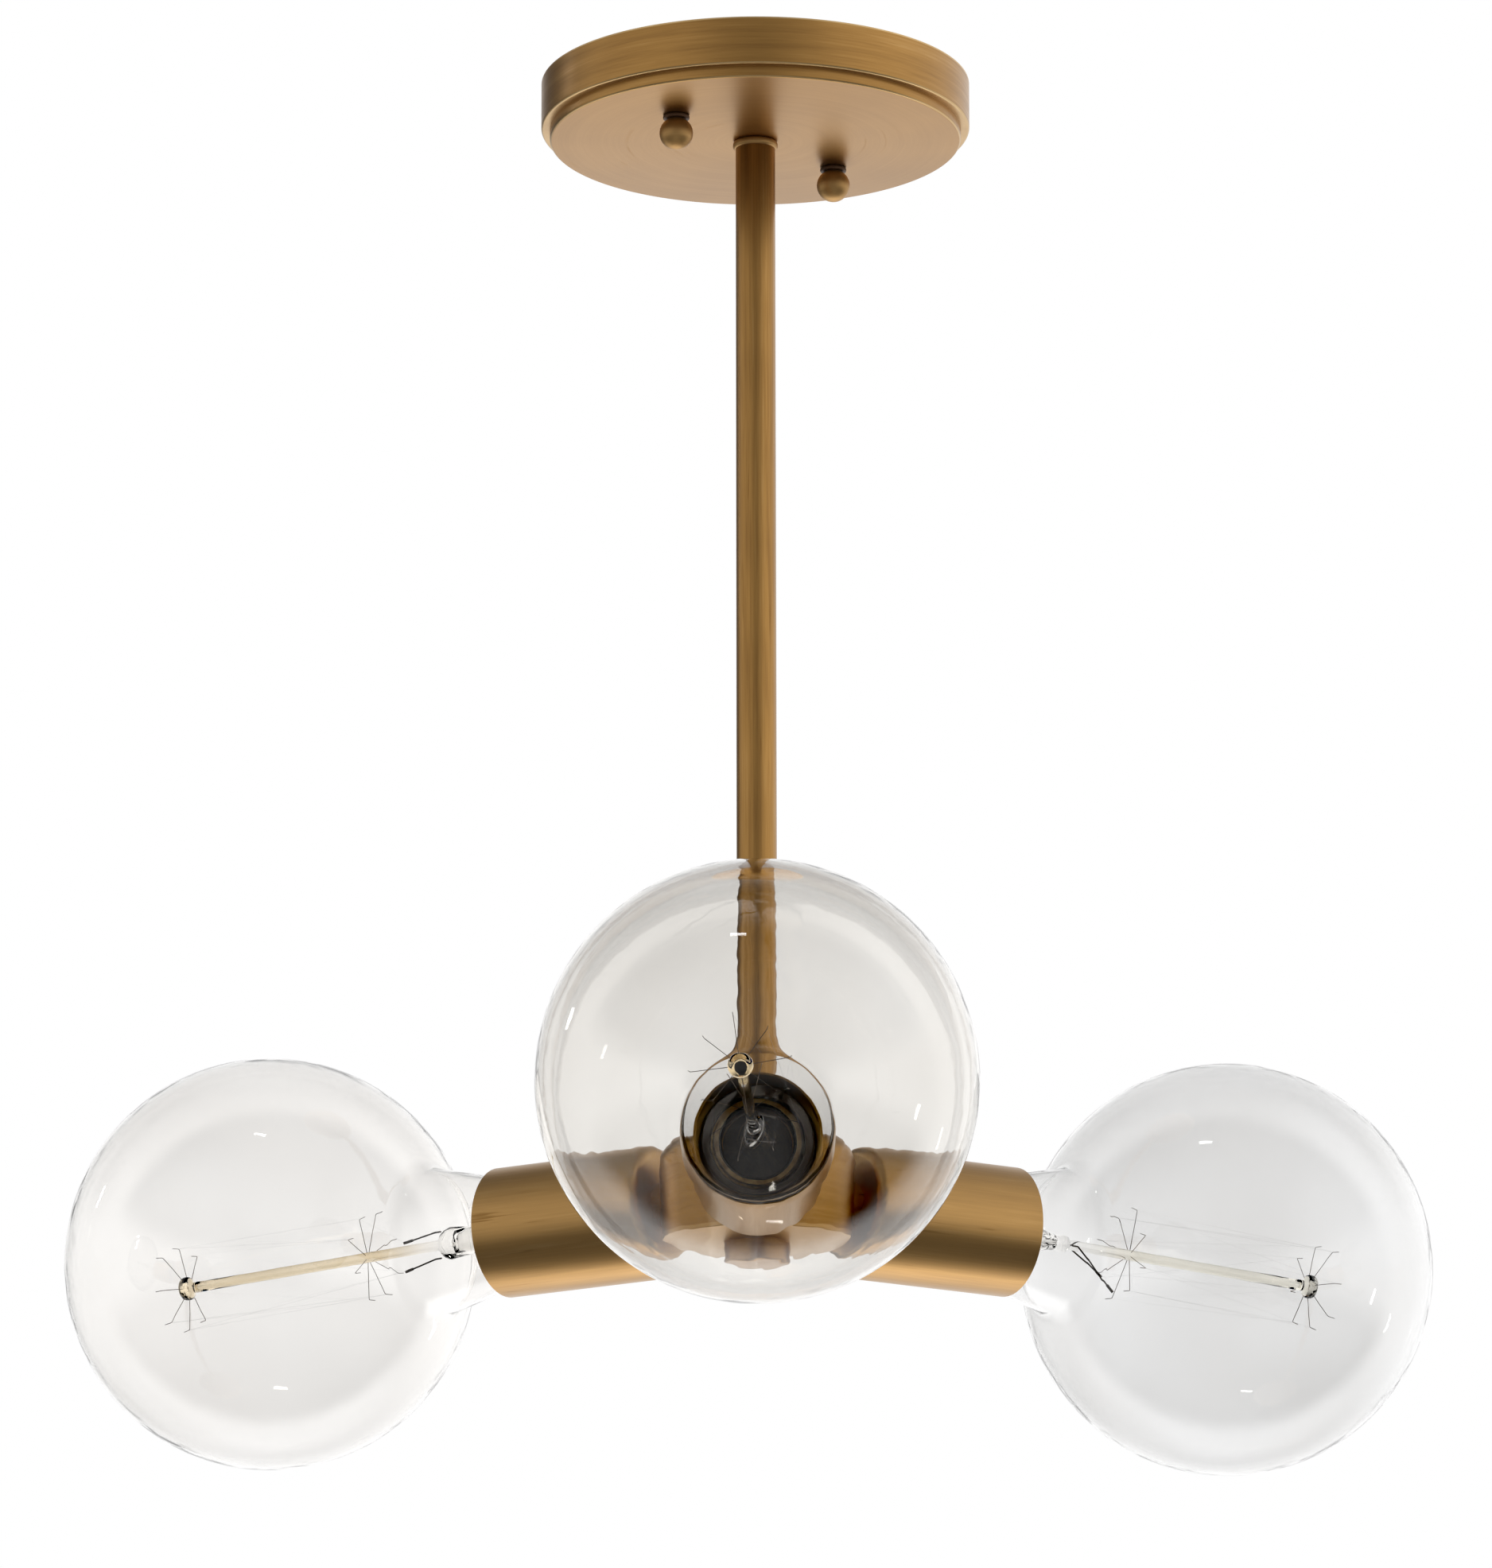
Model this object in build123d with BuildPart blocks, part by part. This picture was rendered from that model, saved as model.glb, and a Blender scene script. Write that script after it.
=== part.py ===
from build123d import *
from math import cos, radians, sin, sqrt
import os

os.makedirs("parts", exist_ok=True)

# Three-light pendant, in millimetres. Z is up. The origin is the centre of the canopy's top rim,
# on the ceiling plane. The front lamp points to -Y, the other two to the back right and back left.

# Canopy: an upper tier, a small ledge, a lower tier and the flat face
canopy_radius = 65.0
canopy_ledge_z = -14.5
canopy_face_radius = 62.4
canopy_face_z = -18.0
canopy_wall = 0.9

# Ceiling hardware
knob_azimuth = 47.0
knob_circle_radius = 35.0
box_screw_circle_radius = 44.45
box_screw_hole_radius = 2.4
crossbar_length = 104.0
crossbar_width = 19.0
crossbar_thickness = 1.6
stud_radius = 2.08
stud_fit = 0.06
stud_tip_z = -24.0
neck_radius = 4.0
neck_bottom_z = -19.2
ball_radius = 5.05
ball_centre_z = -23.6
turn_gap = 0.1
ground_screw_distance = 15.0

# Threaded tube and its lock nuts
tube_radius = 4.95
tube_bore_radius = 3.4
tube_hole_radius = 5.0
nut_across_flats = 14.0
nut_thickness = 3.5

# Stem
stem_radius = 6.0
stem_bore_radius = 5.0
collar_radius = 6.8
collar_height = 2.4
stem_top_z = canopy_face_z - collar_height

# Hub
hub_z = -347.0
hub_radius = 30.0
hub_wall = 1.5
hub_top = 16.0
hub_bottom = -15.0
hub_shoulder = 5.5
cap_radius = 10.25
cap_height = 8.0

# Lamp holders, measured outward from the stem's axis
arm_azimuths = {"front": -90.0, "right": 30.0, "left": 150.0}
cup_back = 33.5
cup_mouth = 87.3
cup_radius = 19.5
cup_wall = 0.8
cup_back_round = 3.0
spacer_radius = 8.0
socket_radius = 17.8
socket_mouth = 79.0
socket_bore_radius = 14.0
socket_floor = 50.0
shell_floor = 53.0
shell_end = 77.2

# Medium lamp thread: a round rolled thread, right-handed
thread_pitch = 3.629
thread_depth = 0.45
thread_steps = 8
lamp_thread_radius = 12.6
socket_thread_radius = 12.88
sheet = 0.5

# Lamps, measured from the globe's centre back towards the contact
globe_radius = 62.5
glass_wall = 0.9
contact_tip = 112.5
seated_distance = 164.5
backed_off = {"front": 0.0, "right": 0.0, "left": 6.0}
neck_wide = (50.0, 24.9)
neck_narrow = (82.0, 16.9)
neck_foot = (84.9, 11.4)
neck_end = 93.0
rod_radius = 1.6
rod_end = -31.7
button_radius = 3.6
press_length = 9.5
base_hooks_at = 35.0
end_hooks_at = -29.7
hook_count = 8
hook_reach = 14.0
hook_tip = 2.2
hook_radius = 0.1
filament_radius = 0.05

# Glasswork is never quite true: lean of each globe and of the mount inside it, degrees down and aside
globe_lean = {"front": (1.04, 0.23), "right": (2.2, 0.0), "left": (0.4, 0.0)}
globe_pivot = 87.0
mount_lean = {"front": (1.9, 2.4), "right": (2.6, 0.0), "left": (2.4, 0.0)}
mount_pivot = 92.0
mount_roll = {"front": 205.0, "right": 73.0, "left": 0.0}
press_end = {"front": 62.5, "right": 57.5, "left": 61.0}

# The two lead wires: sides of the press they leave, and their tips up, aside and back from the globe's centre
lead_sides = {"front": (1, -1), "right": (1, -1), "left": (-1, 1)}
lead_tips_at = {
    "front": ((-7.1, -6.6, 47.0), (0.7, -7.0, 51.0)),
    "right": ((-7.7, -2.0, 42.6), (-13.2, 4.0, 42.8)),
    "left": ((-6.0, 1.5, 47.5), (2.1, -1.5, 49.1)),
}

# Wires
wire_radius = 0.75
wire_circle_radius = 2.3
wire_side = wire_circle_radius * sin(radians(30))


def arm_direction(azimuth):
    return Vector(cos(radians(azimuth)), sin(radians(azimuth)), 0)


# Section through an arm: x runs outward along the arm from the stem's axis, y is up
def arm_section(azimuth, side_offset=0.0):
    outward = arm_direction(azimuth)
    sideways = outward.cross(Vector(0, 0, 1))
    origin = Vector(0, 0, hub_z) + sideways * side_offset
    return Plane(origin=origin, x_dir=outward, z_dir=sideways)


def arm_axis(azimuth):
    return Axis((0, 0, hub_z), arm_direction(azimuth))


# Plane square to an arm at a distance from the stem's axis: its x is up, its z is outward
def arm_cross_plane(azimuth, distance):
    outward = arm_direction(azimuth)
    return Plane(origin=outward * distance + Vector(0, 0, hub_z), x_dir=(0, 0, 1), z_dir=outward)


# Tilts a part about a point of an arm's axis, degrees down and aside
def leaned(part, azimuth, pivot, lean):
    outward = arm_direction(azimuth)
    way = outward.cross(Vector(0, 0, 1)) * lean[1] - Vector(0, 0, lean[0])
    return part.rotate(Axis(outward * pivot + Vector(0, 0, hub_z), outward.cross(way)), way.length)


# Polygon of (distance, radius) points turned about an arm
def turned_on_arm(azimuth, points):
    with BuildPart() as turned:
        with BuildSketch(arm_section(azimuth)):
            with BuildLine():
                Polyline(*points, close=True)
            make_face()
        revolve(axis=arm_axis(azimuth))
    return turned.part


# Round edges of one radius
def circles(part, radius):
    round_edges = part.edges().filter_by(GeomType.CIRCLE)
    return round_edges.filter_by(lambda e: abs(e.radius - radius) < 0.01)


def save(name, part):
    part.label = name
    export_step(part, f"parts/{name}.step")


# Crossbar, under the ceiling box and level with the canopy's rim
bar_plane = Plane(origin=(0, 0, 0), x_dir=arm_direction(knob_azimuth), z_dir=(0, 0, 1))
bar_top = bar_plane.offset(-crossbar_thickness)

with BuildPart() as crossbar:
    with BuildSketch(bar_top):
        SlotOverall(crossbar_length, crossbar_width)
        with Locations((box_screw_circle_radius, 0), (-box_screw_circle_radius, 0)):
            Circle(box_screw_hole_radius, mode=Mode.SUBTRACT)
        with Locations((knob_circle_radius, 0), (-knob_circle_radius, 0)):
            Circle(stud_radius + 0.02, mode=Mode.SUBTRACT)
        with Locations((ground_screw_distance, 0)):
            Circle(2.45, mode=Mode.SUBTRACT)
        Circle(5.2, mode=Mode.SUBTRACT)
    extrude(amount=crossbar_thickness)
save("crossbar", crossbar.part)

with BuildPart() as crossbar_studs:
    with BuildSketch(bar_plane.offset(stud_tip_z)):
        with Locations((knob_circle_radius, 0), (-knob_circle_radius, 0)):
            Circle(stud_radius)
    extrude(amount=-stud_tip_z)
    chamfer(crossbar_studs.edges().filter_by(GeomType.CIRCLE).group_by(Axis.Z)[0], 0.4)
save("crossbar_studs", crossbar_studs.part)

# Earth screw, its head under the ring of the earth wire
ring_thickness = 0.8
head_top_z = -crossbar_thickness - ring_thickness
with BuildPart() as ground_screw:
    with BuildSketch(bar_plane.offset(head_top_z - 2.0)):
        with Locations((ground_screw_distance, 0)):
            RegularPolygon(4.4, 6)
    extrude(amount=2.0)
    with BuildSketch(bar_plane.offset(head_top_z)):
        with Locations((ground_screw_distance, 0)):
            Circle(2.4)
    extrude(amount=-head_top_z)
    with BuildSketch(bar_plane.offset(head_top_z - 2.0)):
        with Locations((ground_screw_distance, 0)):
            Rectangle(7.0, 0.9)
    extrude(amount=0.8, mode=Mode.SUBTRACT)
save("ground_screw", ground_screw.part)

# Canopy
ledge_inner_z = canopy_ledge_z + canopy_wall
face_inner_z = canopy_face_z + canopy_wall
face_inner_radius = canopy_face_radius - canopy_wall
with BuildPart() as canopy:
    with BuildSketch(Plane.XZ):
        with BuildLine():
            Polyline(
                (tube_hole_radius, canopy_face_z),
                (canopy_face_radius, canopy_face_z),
                (canopy_face_radius, canopy_ledge_z),
                (canopy_radius, canopy_ledge_z),
                (canopy_radius, 0),
                (canopy_radius - canopy_wall, 0),
                (canopy_radius - canopy_wall, ledge_inner_z),
                (face_inner_radius, ledge_inner_z),
                (face_inner_radius, face_inner_z),
                (tube_hole_radius, face_inner_z),
                close=True,
            )
        make_face()
    revolve(axis=Axis.Z)
    fillet(circles(canopy, canopy_face_radius).group_by(Axis.Z)[0], 0.8)
    fillet(circles(canopy, canopy_radius).group_by(Axis.Z)[0], 0.7)
    with BuildSketch(bar_plane.offset(canopy_face_z)):
        with Locations((knob_circle_radius, 0), (-knob_circle_radius, 0)):
            Circle(2.6)
    extrude(amount=canopy_wall, mode=Mode.SUBTRACT)
save("canopy", canopy.part)

# Dark necks and ball knobs on the two studs, right is the far one
for name, distance in {"right": knob_circle_radius, "left": -knob_circle_radius}.items():
    place = arm_direction(knob_azimuth) * distance
    with BuildPart() as neck:
        with BuildSketch(Plane.XY.offset(neck_bottom_z)):
            with Locations((place.X, place.Y)):
                Circle(neck_radius)
                Circle(stud_radius + stud_fit, mode=Mode.SUBTRACT)
        extrude(amount=canopy_face_z - neck_bottom_z - turn_gap)
        fillet(circles(neck, neck_radius), 0.4)
    save(f"{name}_knob_washer", neck.part)

    flat_z = neck_bottom_z - turn_gap
    bore_bottom_z = stud_tip_z - 0.6
    with BuildPart() as ball:
        with Locations((place.X, place.Y, ball_centre_z)):
            Sphere(ball_radius)
        with BuildSketch(Plane.XY.offset(flat_z)):
            with Locations((place.X, place.Y)):
                Circle(ball_radius)
        extrude(amount=ball_radius, mode=Mode.SUBTRACT)
        with BuildSketch(Plane.XY.offset(bore_bottom_z)):
            with Locations((place.X, place.Y)):
                Circle(stud_radius + stud_fit)
        extrude(amount=flat_z - bore_bottom_z, mode=Mode.SUBTRACT)
    save(f"{name}_ball_knob", ball.part)

# Threaded tube between canopy and stem, with the toothed washer, the earth ring and a lock nut on it
washer_top_z = face_inner_z + 1.0
ring_top_z = washer_top_z + ring_thickness
canopy_nut_z = ring_top_z
tube_top_z = canopy_nut_z + nut_thickness + 1.3

with BuildPart() as canopy_nipple:
    with BuildSketch(Plane.XY.offset(stem_top_z - 18)):
        Circle(tube_radius)
        Circle(tube_bore_radius, mode=Mode.SUBTRACT)
    extrude(amount=tube_top_z - stem_top_z + 18)
save("canopy_nipple", canopy_nipple.part)

with BuildPart() as canopy_lock_washer:
    with BuildSketch(Plane.XY.offset(face_inner_z)):
        Circle(7.4)
        with PolarLocations(7.9, 12):
            Rectangle(2.2, 1.9)
        Circle(tube_hole_radius, mode=Mode.SUBTRACT)
    extrude(amount=1.0)
save("canopy_lock_washer", canopy_lock_washer.part)

with BuildPart() as stem_collar:
    with BuildSketch(Plane.XY.offset(stem_top_z)):
        Circle(collar_radius)
        Circle(tube_hole_radius, mode=Mode.SUBTRACT)
    extrude(amount=collar_height)
    fillet(circles(stem_collar, collar_radius), 1.0)
save("stem_collar", stem_collar.part)

stem_foot_z = hub_z + hub_top
with BuildPart() as stem:
    with BuildSketch(Plane.XY.offset(stem_foot_z)):
        Circle(stem_radius)
        Circle(stem_bore_radius, mode=Mode.SUBTRACT)
    extrude(amount=stem_top_z - stem_foot_z)
save("stem", stem.part)

# Earth wire: a ring on the threaded tube, a ring on the earth screw and the wire between them
wire_distance = 9.6
with BuildPart() as ground_wire:
    with BuildSketch(bar_plane.offset(washer_top_z)):
        Circle(8.0)
        with Locations((wire_distance / 2, 0)):
            Rectangle(wire_distance + 2.2, 3.0)
        Circle(tube_hole_radius, mode=Mode.SUBTRACT)
    extrude(amount=ring_thickness)
    with BuildSketch(bar_plane.offset(head_top_z)):
        with Locations((ground_screw_distance, 0)):
            Circle(4.2)
        with Locations(((ground_screw_distance + wire_distance) / 2 - 0.6, 0)):
            Rectangle(ground_screw_distance - wire_distance + 1.2, 3.0)
        with Locations((ground_screw_distance, 0)):
            Circle(2.45, mode=Mode.SUBTRACT)
    extrude(amount=ring_thickness)
    with BuildSketch(bar_plane.offset(ring_top_z)):
        with Locations((wire_distance, 0)):
            Circle(0.65)
    extrude(amount=head_top_z - ring_top_z)
save("ground_wire", ground_wire.part)

# Hub: a drum with a rounded shoulder, closed below by a flat cover and the round cap
cover_top = hub_bottom + hub_wall
with BuildPart() as hub_body:
    with BuildSketch(Plane.XY.offset(hub_z + cover_top)):
        Circle(hub_radius)
    extrude(amount=hub_top - cover_top)
    fillet(hub_body.edges().group_by(Axis.Z)[-1], hub_shoulder)
    offset(amount=-hub_wall, openings=hub_body.faces().sort_by(Axis.Z)[0])
    with BuildSketch(Plane.XY.offset(hub_z + hub_top - hub_wall)):
        Circle(tube_hole_radius)
    extrude(amount=hub_wall, mode=Mode.SUBTRACT)
    for azimuth in arm_azimuths.values():
        with BuildSketch(arm_cross_plane(azimuth, hub_radius - 4)):
            Circle(tube_hole_radius)
        extrude(amount=8, mode=Mode.SUBTRACT)
save("hub_body", hub_body.part)

with BuildPart() as hub_cover:
    with BuildSketch(Plane.XY.offset(hub_z + hub_bottom)):
        Circle(hub_radius)
    extrude(amount=hub_wall)
    fillet(hub_cover.edges().group_by(Axis.Z)[0], 0.3)
    with BuildSketch(Plane.XY.offset(hub_z + cover_top)):
        Circle(hub_radius - hub_wall - 0.1)
        Circle(hub_radius - hub_wall - 1.3, mode=Mode.SUBTRACT)
    extrude(amount=1.8)
    with BuildSketch(Plane.XY.offset(hub_z + hub_bottom)):
        Circle(tube_hole_radius)
    extrude(amount=hub_wall, mode=Mode.SUBTRACT)
save("hub_cover", hub_cover.part)

cap_bottom_z = hub_z + hub_bottom - cap_height
with BuildPart() as hub_cap:
    with BuildSketch(Plane.XY.offset(cap_bottom_z)):
        Circle(cap_radius)
    extrude(amount=cap_height)
    fillet(hub_cap.edges().group_by(Axis.Z)[0], 1.0)
    with BuildSketch(Plane.XY.offset(hub_z + hub_bottom)):
        Circle(tube_hole_radius)
    extrude(amount=-5.5, mode=Mode.SUBTRACT)
save("hub_cap", hub_cap.part)

# Threaded tube through the hub: one window towards each arm lets that arm's wires in
with BuildPart() as hub_nipple:
    with BuildSketch(Plane.XY.offset(hub_z + hub_bottom - 5)):
        Circle(tube_radius)
        Circle(tube_bore_radius, mode=Mode.SUBTRACT)
    extrude(amount=hub_top - hub_bottom + 23)
    for azimuth in arm_azimuths.values():
        with BuildSketch(arm_cross_plane(azimuth, 2.5)):
            with Locations((1.5, 0)):
                RectangleRounded(6.0, 4.6, 1.0)
        extrude(amount=4, mode=Mode.SUBTRACT)
save("hub_nipple", hub_nipple.part)

# Lock nuts: one in the canopy, one under the hub's top and one inside the hub on each arm
hub_nut_plane = Plane.XY.offset(hub_z + hub_top - hub_wall - nut_thickness)
nut_corner = nut_across_flats / sqrt(3)
arm_nut_outer = sqrt((hub_radius - hub_wall) ** 2 - nut_corner**2)
nut_planes = [Plane.XY.offset(canopy_nut_z), hub_nut_plane]
for azimuth in arm_azimuths.values():
    nut_planes.append(arm_cross_plane(azimuth, arm_nut_outer - nut_thickness))

with BuildPart() as pipe_nuts:
    for nut_plane in nut_planes:
        with BuildSketch(nut_plane):
            RegularPolygon(nut_corner, 6)
            Circle(tube_hole_radius, mode=Mode.SUBTRACT)
        extrude(amount=nut_thickness)
save("pipe_nuts", pipe_nuts.part)

arm_tube_start = arm_nut_outer - nut_thickness - 1.3
arm_tube_end = 41.5
with BuildPart() as arm_nipples:
    for azimuth in arm_azimuths.values():
        with BuildSketch(arm_cross_plane(azimuth, arm_tube_start)):
            Circle(tube_radius)
            Circle(tube_bore_radius, mode=Mode.SUBTRACT)
        extrude(amount=arm_tube_end - arm_tube_start)
save("arm_nipples", arm_nipples.part)

# Spacers between drum and cups, each with a saddle end that fits the drum
with BuildPart() as arm_spacers:
    for azimuth in arm_azimuths.values():
        with BuildSketch(arm_cross_plane(azimuth, hub_radius - 3)):
            Circle(spacer_radius)
            Circle(tube_hole_radius, mode=Mode.SUBTRACT)
        extrude(amount=cup_back - hub_radius + 3)
    with BuildSketch(Plane.XY.offset(hub_z - 12)):
        Circle(hub_radius)
    extrude(amount=24, mode=Mode.SUBTRACT)
save("arm_spacers", arm_spacers.part)


# Point at a distance along an arm, with the socket's thread phase there (the helix is one for all lamps)
def thread_centre(azimuth, distance):
    outward = arm_direction(azimuth)
    sideways = outward.cross(Vector(0, 0, 1))
    phase = radians(360 * distance / thread_pitch)
    offset_vector = Vector(0, 0, cos(phase)) + sideways * sin(phase)
    return outward * distance + Vector(0, 0, hub_z) + offset_vector * thread_depth


def thread_plane(azimuth, distance):
    return Plane(origin=thread_centre(azimuth, distance), x_dir=(0, 0, 1), z_dir=arm_direction(azimuth))


# Round rolled thread in sheet metal: circles set off from the axis, a few for each turn, skinned and closed
def threaded_sleeve(azimuth, start, end, inner, outer):
    step_count = round((end - start) / thread_pitch * thread_steps)
    sections = [thread_plane(azimuth, start + (end - start) * k / step_count) for k in range(step_count + 1)]
    faces = []
    for radius in (inner, outer):
        rings = [Edge.make_circle(radius, section) for section in sections]
        for near, far in zip(rings, rings[1:]):
            faces.append(Face.make_surface_from_curves(near, far))
    for section in (sections[0], sections[-1]):
        faces.append(Face(Wire.make_circle(outer, section), [Wire.make_circle(inner, section)]))
    return Solid(Shell(faces))


# Flat end of a threaded sleeve, with a round hole on the arm's axis
def sleeve_end(azimuth, start, thickness, outer, hole):
    with BuildPart() as end_disc:
        with BuildSketch(thread_plane(azimuth, start)):
            Circle(outer)
        extrude(amount=thickness)
        with BuildSketch(arm_cross_plane(azimuth, start)):
            Circle(hole)
        extrude(amount=thickness, mode=Mode.SUBTRACT)
    return end_disc.part


# Round wire along straight runs joined by quarter bends, in a section plane of one arm
def arm_wire(section_plane, corners, bend):
    with BuildPart() as wire:
        with BuildLine(section_plane) as path:
            FilletPolyline(*corners, radius=bend)
        with BuildSketch(Plane(origin=path.line @ 0, z_dir=path.line % 0)):
            Circle(wire_radius)
        sweep()
    return wire.part


# Half outline of the lamp glass in an arm's section, from the front pole to past the neck
def glass_outline(centre, neck_length, inset):
    narrow = (centre - neck_narrow[0], neck_narrow[1])
    foot = (centre - neck_foot[0], neck_foot[1])
    end = (centre - neck_length, neck_foot[1])
    wide = (centre - neck_wide[0], neck_wide[1])
    upper = [wide, narrow, foot, end]
    lower = [(x, -y) for x, y in reversed(upper)]
    with BuildSketch() as outline:
        with Locations((centre, 0)):
            Circle(globe_radius)
        with BuildLine():
            Polyline(*upper, *lower, close=True)
        make_face()
        corners = outline.vertices()
        fillet(corners.filter_by(lambda v: abs(v.X - narrow[0]) < 0.01), 2.4)
        fillet(corners.filter_by(lambda v: abs(v.X - foot[0]) < 0.01), 0.8)
        fillet(corners.filter_by(lambda v: 52 < centre - v.X < 62), 7.0)
        if inset > 0:
            offset(amount=-inset)
        with Locations((centre - 20, -100)):
            Rectangle(400, 200, mode=Mode.SUBTRACT)
    return outline.sketch


# Stiff thin wires of the lamp: straight runs with a ball at each corner
def thin_wire(points, radius):
    with BuildPart() as wire:
        for start, end in zip(points, points[1:]):
            run = end - start
            with BuildSketch(Plane(origin=start, z_dir=run)):
                Circle(radius)
            extrude(amount=run.length)
        for corner in points[1:-1]:
            with Locations(corner):
                Sphere(radius)
    return wire.part


hot_leads = []
neutral_leads = []

for name, azimuth in arm_azimuths.items():
    outward = arm_direction(azimuth)
    axis = arm_axis(azimuth)

    # Cup: drawn tube with a round-edged back
    with BuildPart() as cup:
        with BuildSketch(arm_cross_plane(azimuth, cup_back)):
            Circle(cup_radius)
        extrude(amount=cup_mouth - cup_back)
        back_and_mouth = cup.faces().sort_by(axis)
        fillet(back_and_mouth[0].edges(), cup_back_round)
        offset(amount=-cup_wall, openings=cup.faces().sort_by(axis)[-1])
        with BuildSketch(arm_cross_plane(azimuth, cup_back)):
            Circle(tube_hole_radius)
        extrude(amount=cup_wall, mode=Mode.SUBTRACT)
    save(f"{name}_cup", cup.part)

    # Socket body: threaded foot, wire chamber, two wire holes and the bore for the screw shell
    foot_face = cup_back + cup_wall
    with BuildPart() as socket_body:
        add(turned_on_arm(azimuth, [
            (foot_face, tube_hole_radius),
            (foot_face, socket_radius - 2.6),
            (foot_face + 2.2, socket_radius),
            (socket_mouth, socket_radius),
            (socket_mouth, socket_bore_radius),
            (shell_floor, socket_bore_radius),
            (shell_floor, 9.5),
            (socket_floor, 9.5),
            (socket_floor, 0),
            (46, 0),
            (46, 12.4),
            (42, 12.4),
            (42, tube_hole_radius),
        ]))
        chamfer(socket_body.edges().group_by(axis)[-1], 0.4)
        with BuildSketch(arm_cross_plane(azimuth, 46)):
            with Locations((-6, -wire_side)):
                Circle(1.0)
        extrude(amount=4, mode=Mode.SUBTRACT)
        with BuildSketch(arm_cross_plane(azimuth, 46)):
            with Locations((10.5, wire_side)):
                Circle(1.0)
        extrude(amount=7, mode=Mode.SUBTRACT)
    save(f"{name}_socket_body", socket_body.part)

    # Screw shell of the socket
    with BuildPart() as socket_shell:
        add(threaded_sleeve(
            azimuth, shell_floor + sheet, shell_end, socket_thread_radius, socket_thread_radius + sheet
        ))
        add(sleeve_end(azimuth, shell_floor + sheet, -sheet, socket_thread_radius + sheet, 7.5))
    save(f"{name}_socket_shell", socket_shell.part)

    # Centre contact: a sprung leaf, raised in the middle
    with BuildPart() as socket_contact:
        with BuildSketch(arm_section(azimuth)):
            with BuildLine():
                Polyline(
                    (socket_floor, -8),
                    (socket_floor + 0.4, -8),
                    (socket_floor + 0.4, -3.2),
                    (socket_floor + 1.7, 0.5),
                    (socket_floor + 1.7, 3.5),
                    (socket_floor + 1.3, 3.5),
                    (socket_floor + 1.3, 0.6),
                    (socket_floor, -3.1),
                    close=True,
                )
            make_face()
        extrude(amount=2.5, both=True)
    save(f"{name}_socket_contact", socket_contact.part)

    # The arm's two wires: from the socket through the arm, then up the stem to the ceiling plane
    riser = wire_circle_radius * cos(radians(30))
    tail_z = -0.3 - hub_z
    hot_leads.append(arm_wire(
        arm_section(azimuth, -wire_side),
        [(socket_floor, -6), (43.5, -6), (43.5, 0), (riser, 0), (riser, tail_z)],
        2.4,
    ))
    neutral_leads.append(arm_wire(
        arm_section(azimuth, wire_side),
        [(shell_floor, 10.5), (43.5, 10.5), (43.5, 0), (riser, 0), (riser, tail_z)],
        2.4,
    ))

    # Lamp glass: globe and tapered neck
    centre = seated_distance + backed_off[name]
    with BuildPart() as globe:
        with BuildSketch(arm_section(azimuth)):
            add(glass_outline(centre, neck_end, 0))
        revolve(axis=axis)
        with BuildSketch(arm_section(azimuth)):
            add(glass_outline(centre, neck_end + 5, glass_wall))
        revolve(axis=axis, mode=Mode.SUBTRACT)
    save(f"{name}_globe", leaned(globe.part, azimuth, centre - globe_pivot, globe_lean[name]))

    # Lamp base: screw shell with a plain collar at the glass, closed at the foot
    collar_start = centre - 87.0
    shell_start = centre - 106.0
    with BuildPart() as lamp_base:
        add(threaded_sleeve(
            azimuth, shell_start, collar_start, lamp_thread_radius - sheet, lamp_thread_radius
        ))
        add(turned_on_arm(azimuth, [
            (collar_start, 11.5),
            (collar_start, 12.9),
            (centre - 85.4, 12.9),
            (centre - 85.4, 11.5),
        ]))
        add(sleeve_end(azimuth, shell_start, -sheet, lamp_thread_radius - 0.34, 8.6))
    save(f"{name}_lamp_base", lamp_base.part)

    insulator_face = shell_start - sheet
    contact_face = centre - 110.7
    insulator = turned_on_arm(azimuth, [
        (insulator_face, 0),
        (insulator_face, 11.0),
        (insulator_face - 1.2, 10.4),
        (contact_face, 5.2),
        (contact_face, 0),
    ])
    save(f"{name}_base_insulator", insulator)

    contact = turned_on_arm(azimuth, [
        (contact_face - turn_gap, 0),
        (contact_face - turn_gap, 4.7),
        (contact_face - 0.9, 4.6),
        (contact_face - 1.5, 3.4),
        (centre - contact_tip, 1.6),
        (centre - contact_tip, 0),
    ])
    save(f"{name}_base_contact", contact)

    # Glass mount: flared tube, flattened press, rod and end button, one piece of glass
    roll = radians(mount_roll[name])
    aside = outward.cross(Vector(0, 0, 1))
    across = Vector(0, 0, cos(roll)) - aside * sin(roll)
    through = outward.cross(across)
    press_face = centre - press_end[name]
    press_foot = press_face - press_length
    press_plane = Plane(origin=outward * press_foot + Vector(0, 0, hub_z), x_dir=across, z_dir=outward)
    with BuildPart() as glass_mount:
        add(turned_on_arm(azimuth, [
            (centre - neck_end + 0.5, 10.2),
            (centre - neck_end + 2.0, 10.2),
            (centre - 84, 5.6),
            (press_foot, 4.0),
            (press_foot, 3.0),
            (centre - 84.5, 4.6),
            (centre - neck_end + 0.5, 9.2),
        ]))
        with BuildSketch(press_plane):
            RectangleRounded(10.4, 4.4, 1.6)
        extrude(amount=press_length)
        fillet(glass_mount.faces().sort_by(axis)[-1].edges(), 1.0)
        add(turned_on_arm(azimuth, [
            (press_face - 1.5, 0),
            (press_face - 1.5, rod_radius),
            (centre - rod_end - 3.4, rod_radius),
            (centre - rod_end - 3.0, button_radius - 0.5),
            (centre - rod_end - 2.5, button_radius),
            (centre - rod_end - 0.8, button_radius),
            (centre - rod_end, button_radius - 0.9),
            (centre - rod_end, 0),
        ]))
    mount_foot = centre - mount_pivot
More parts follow.
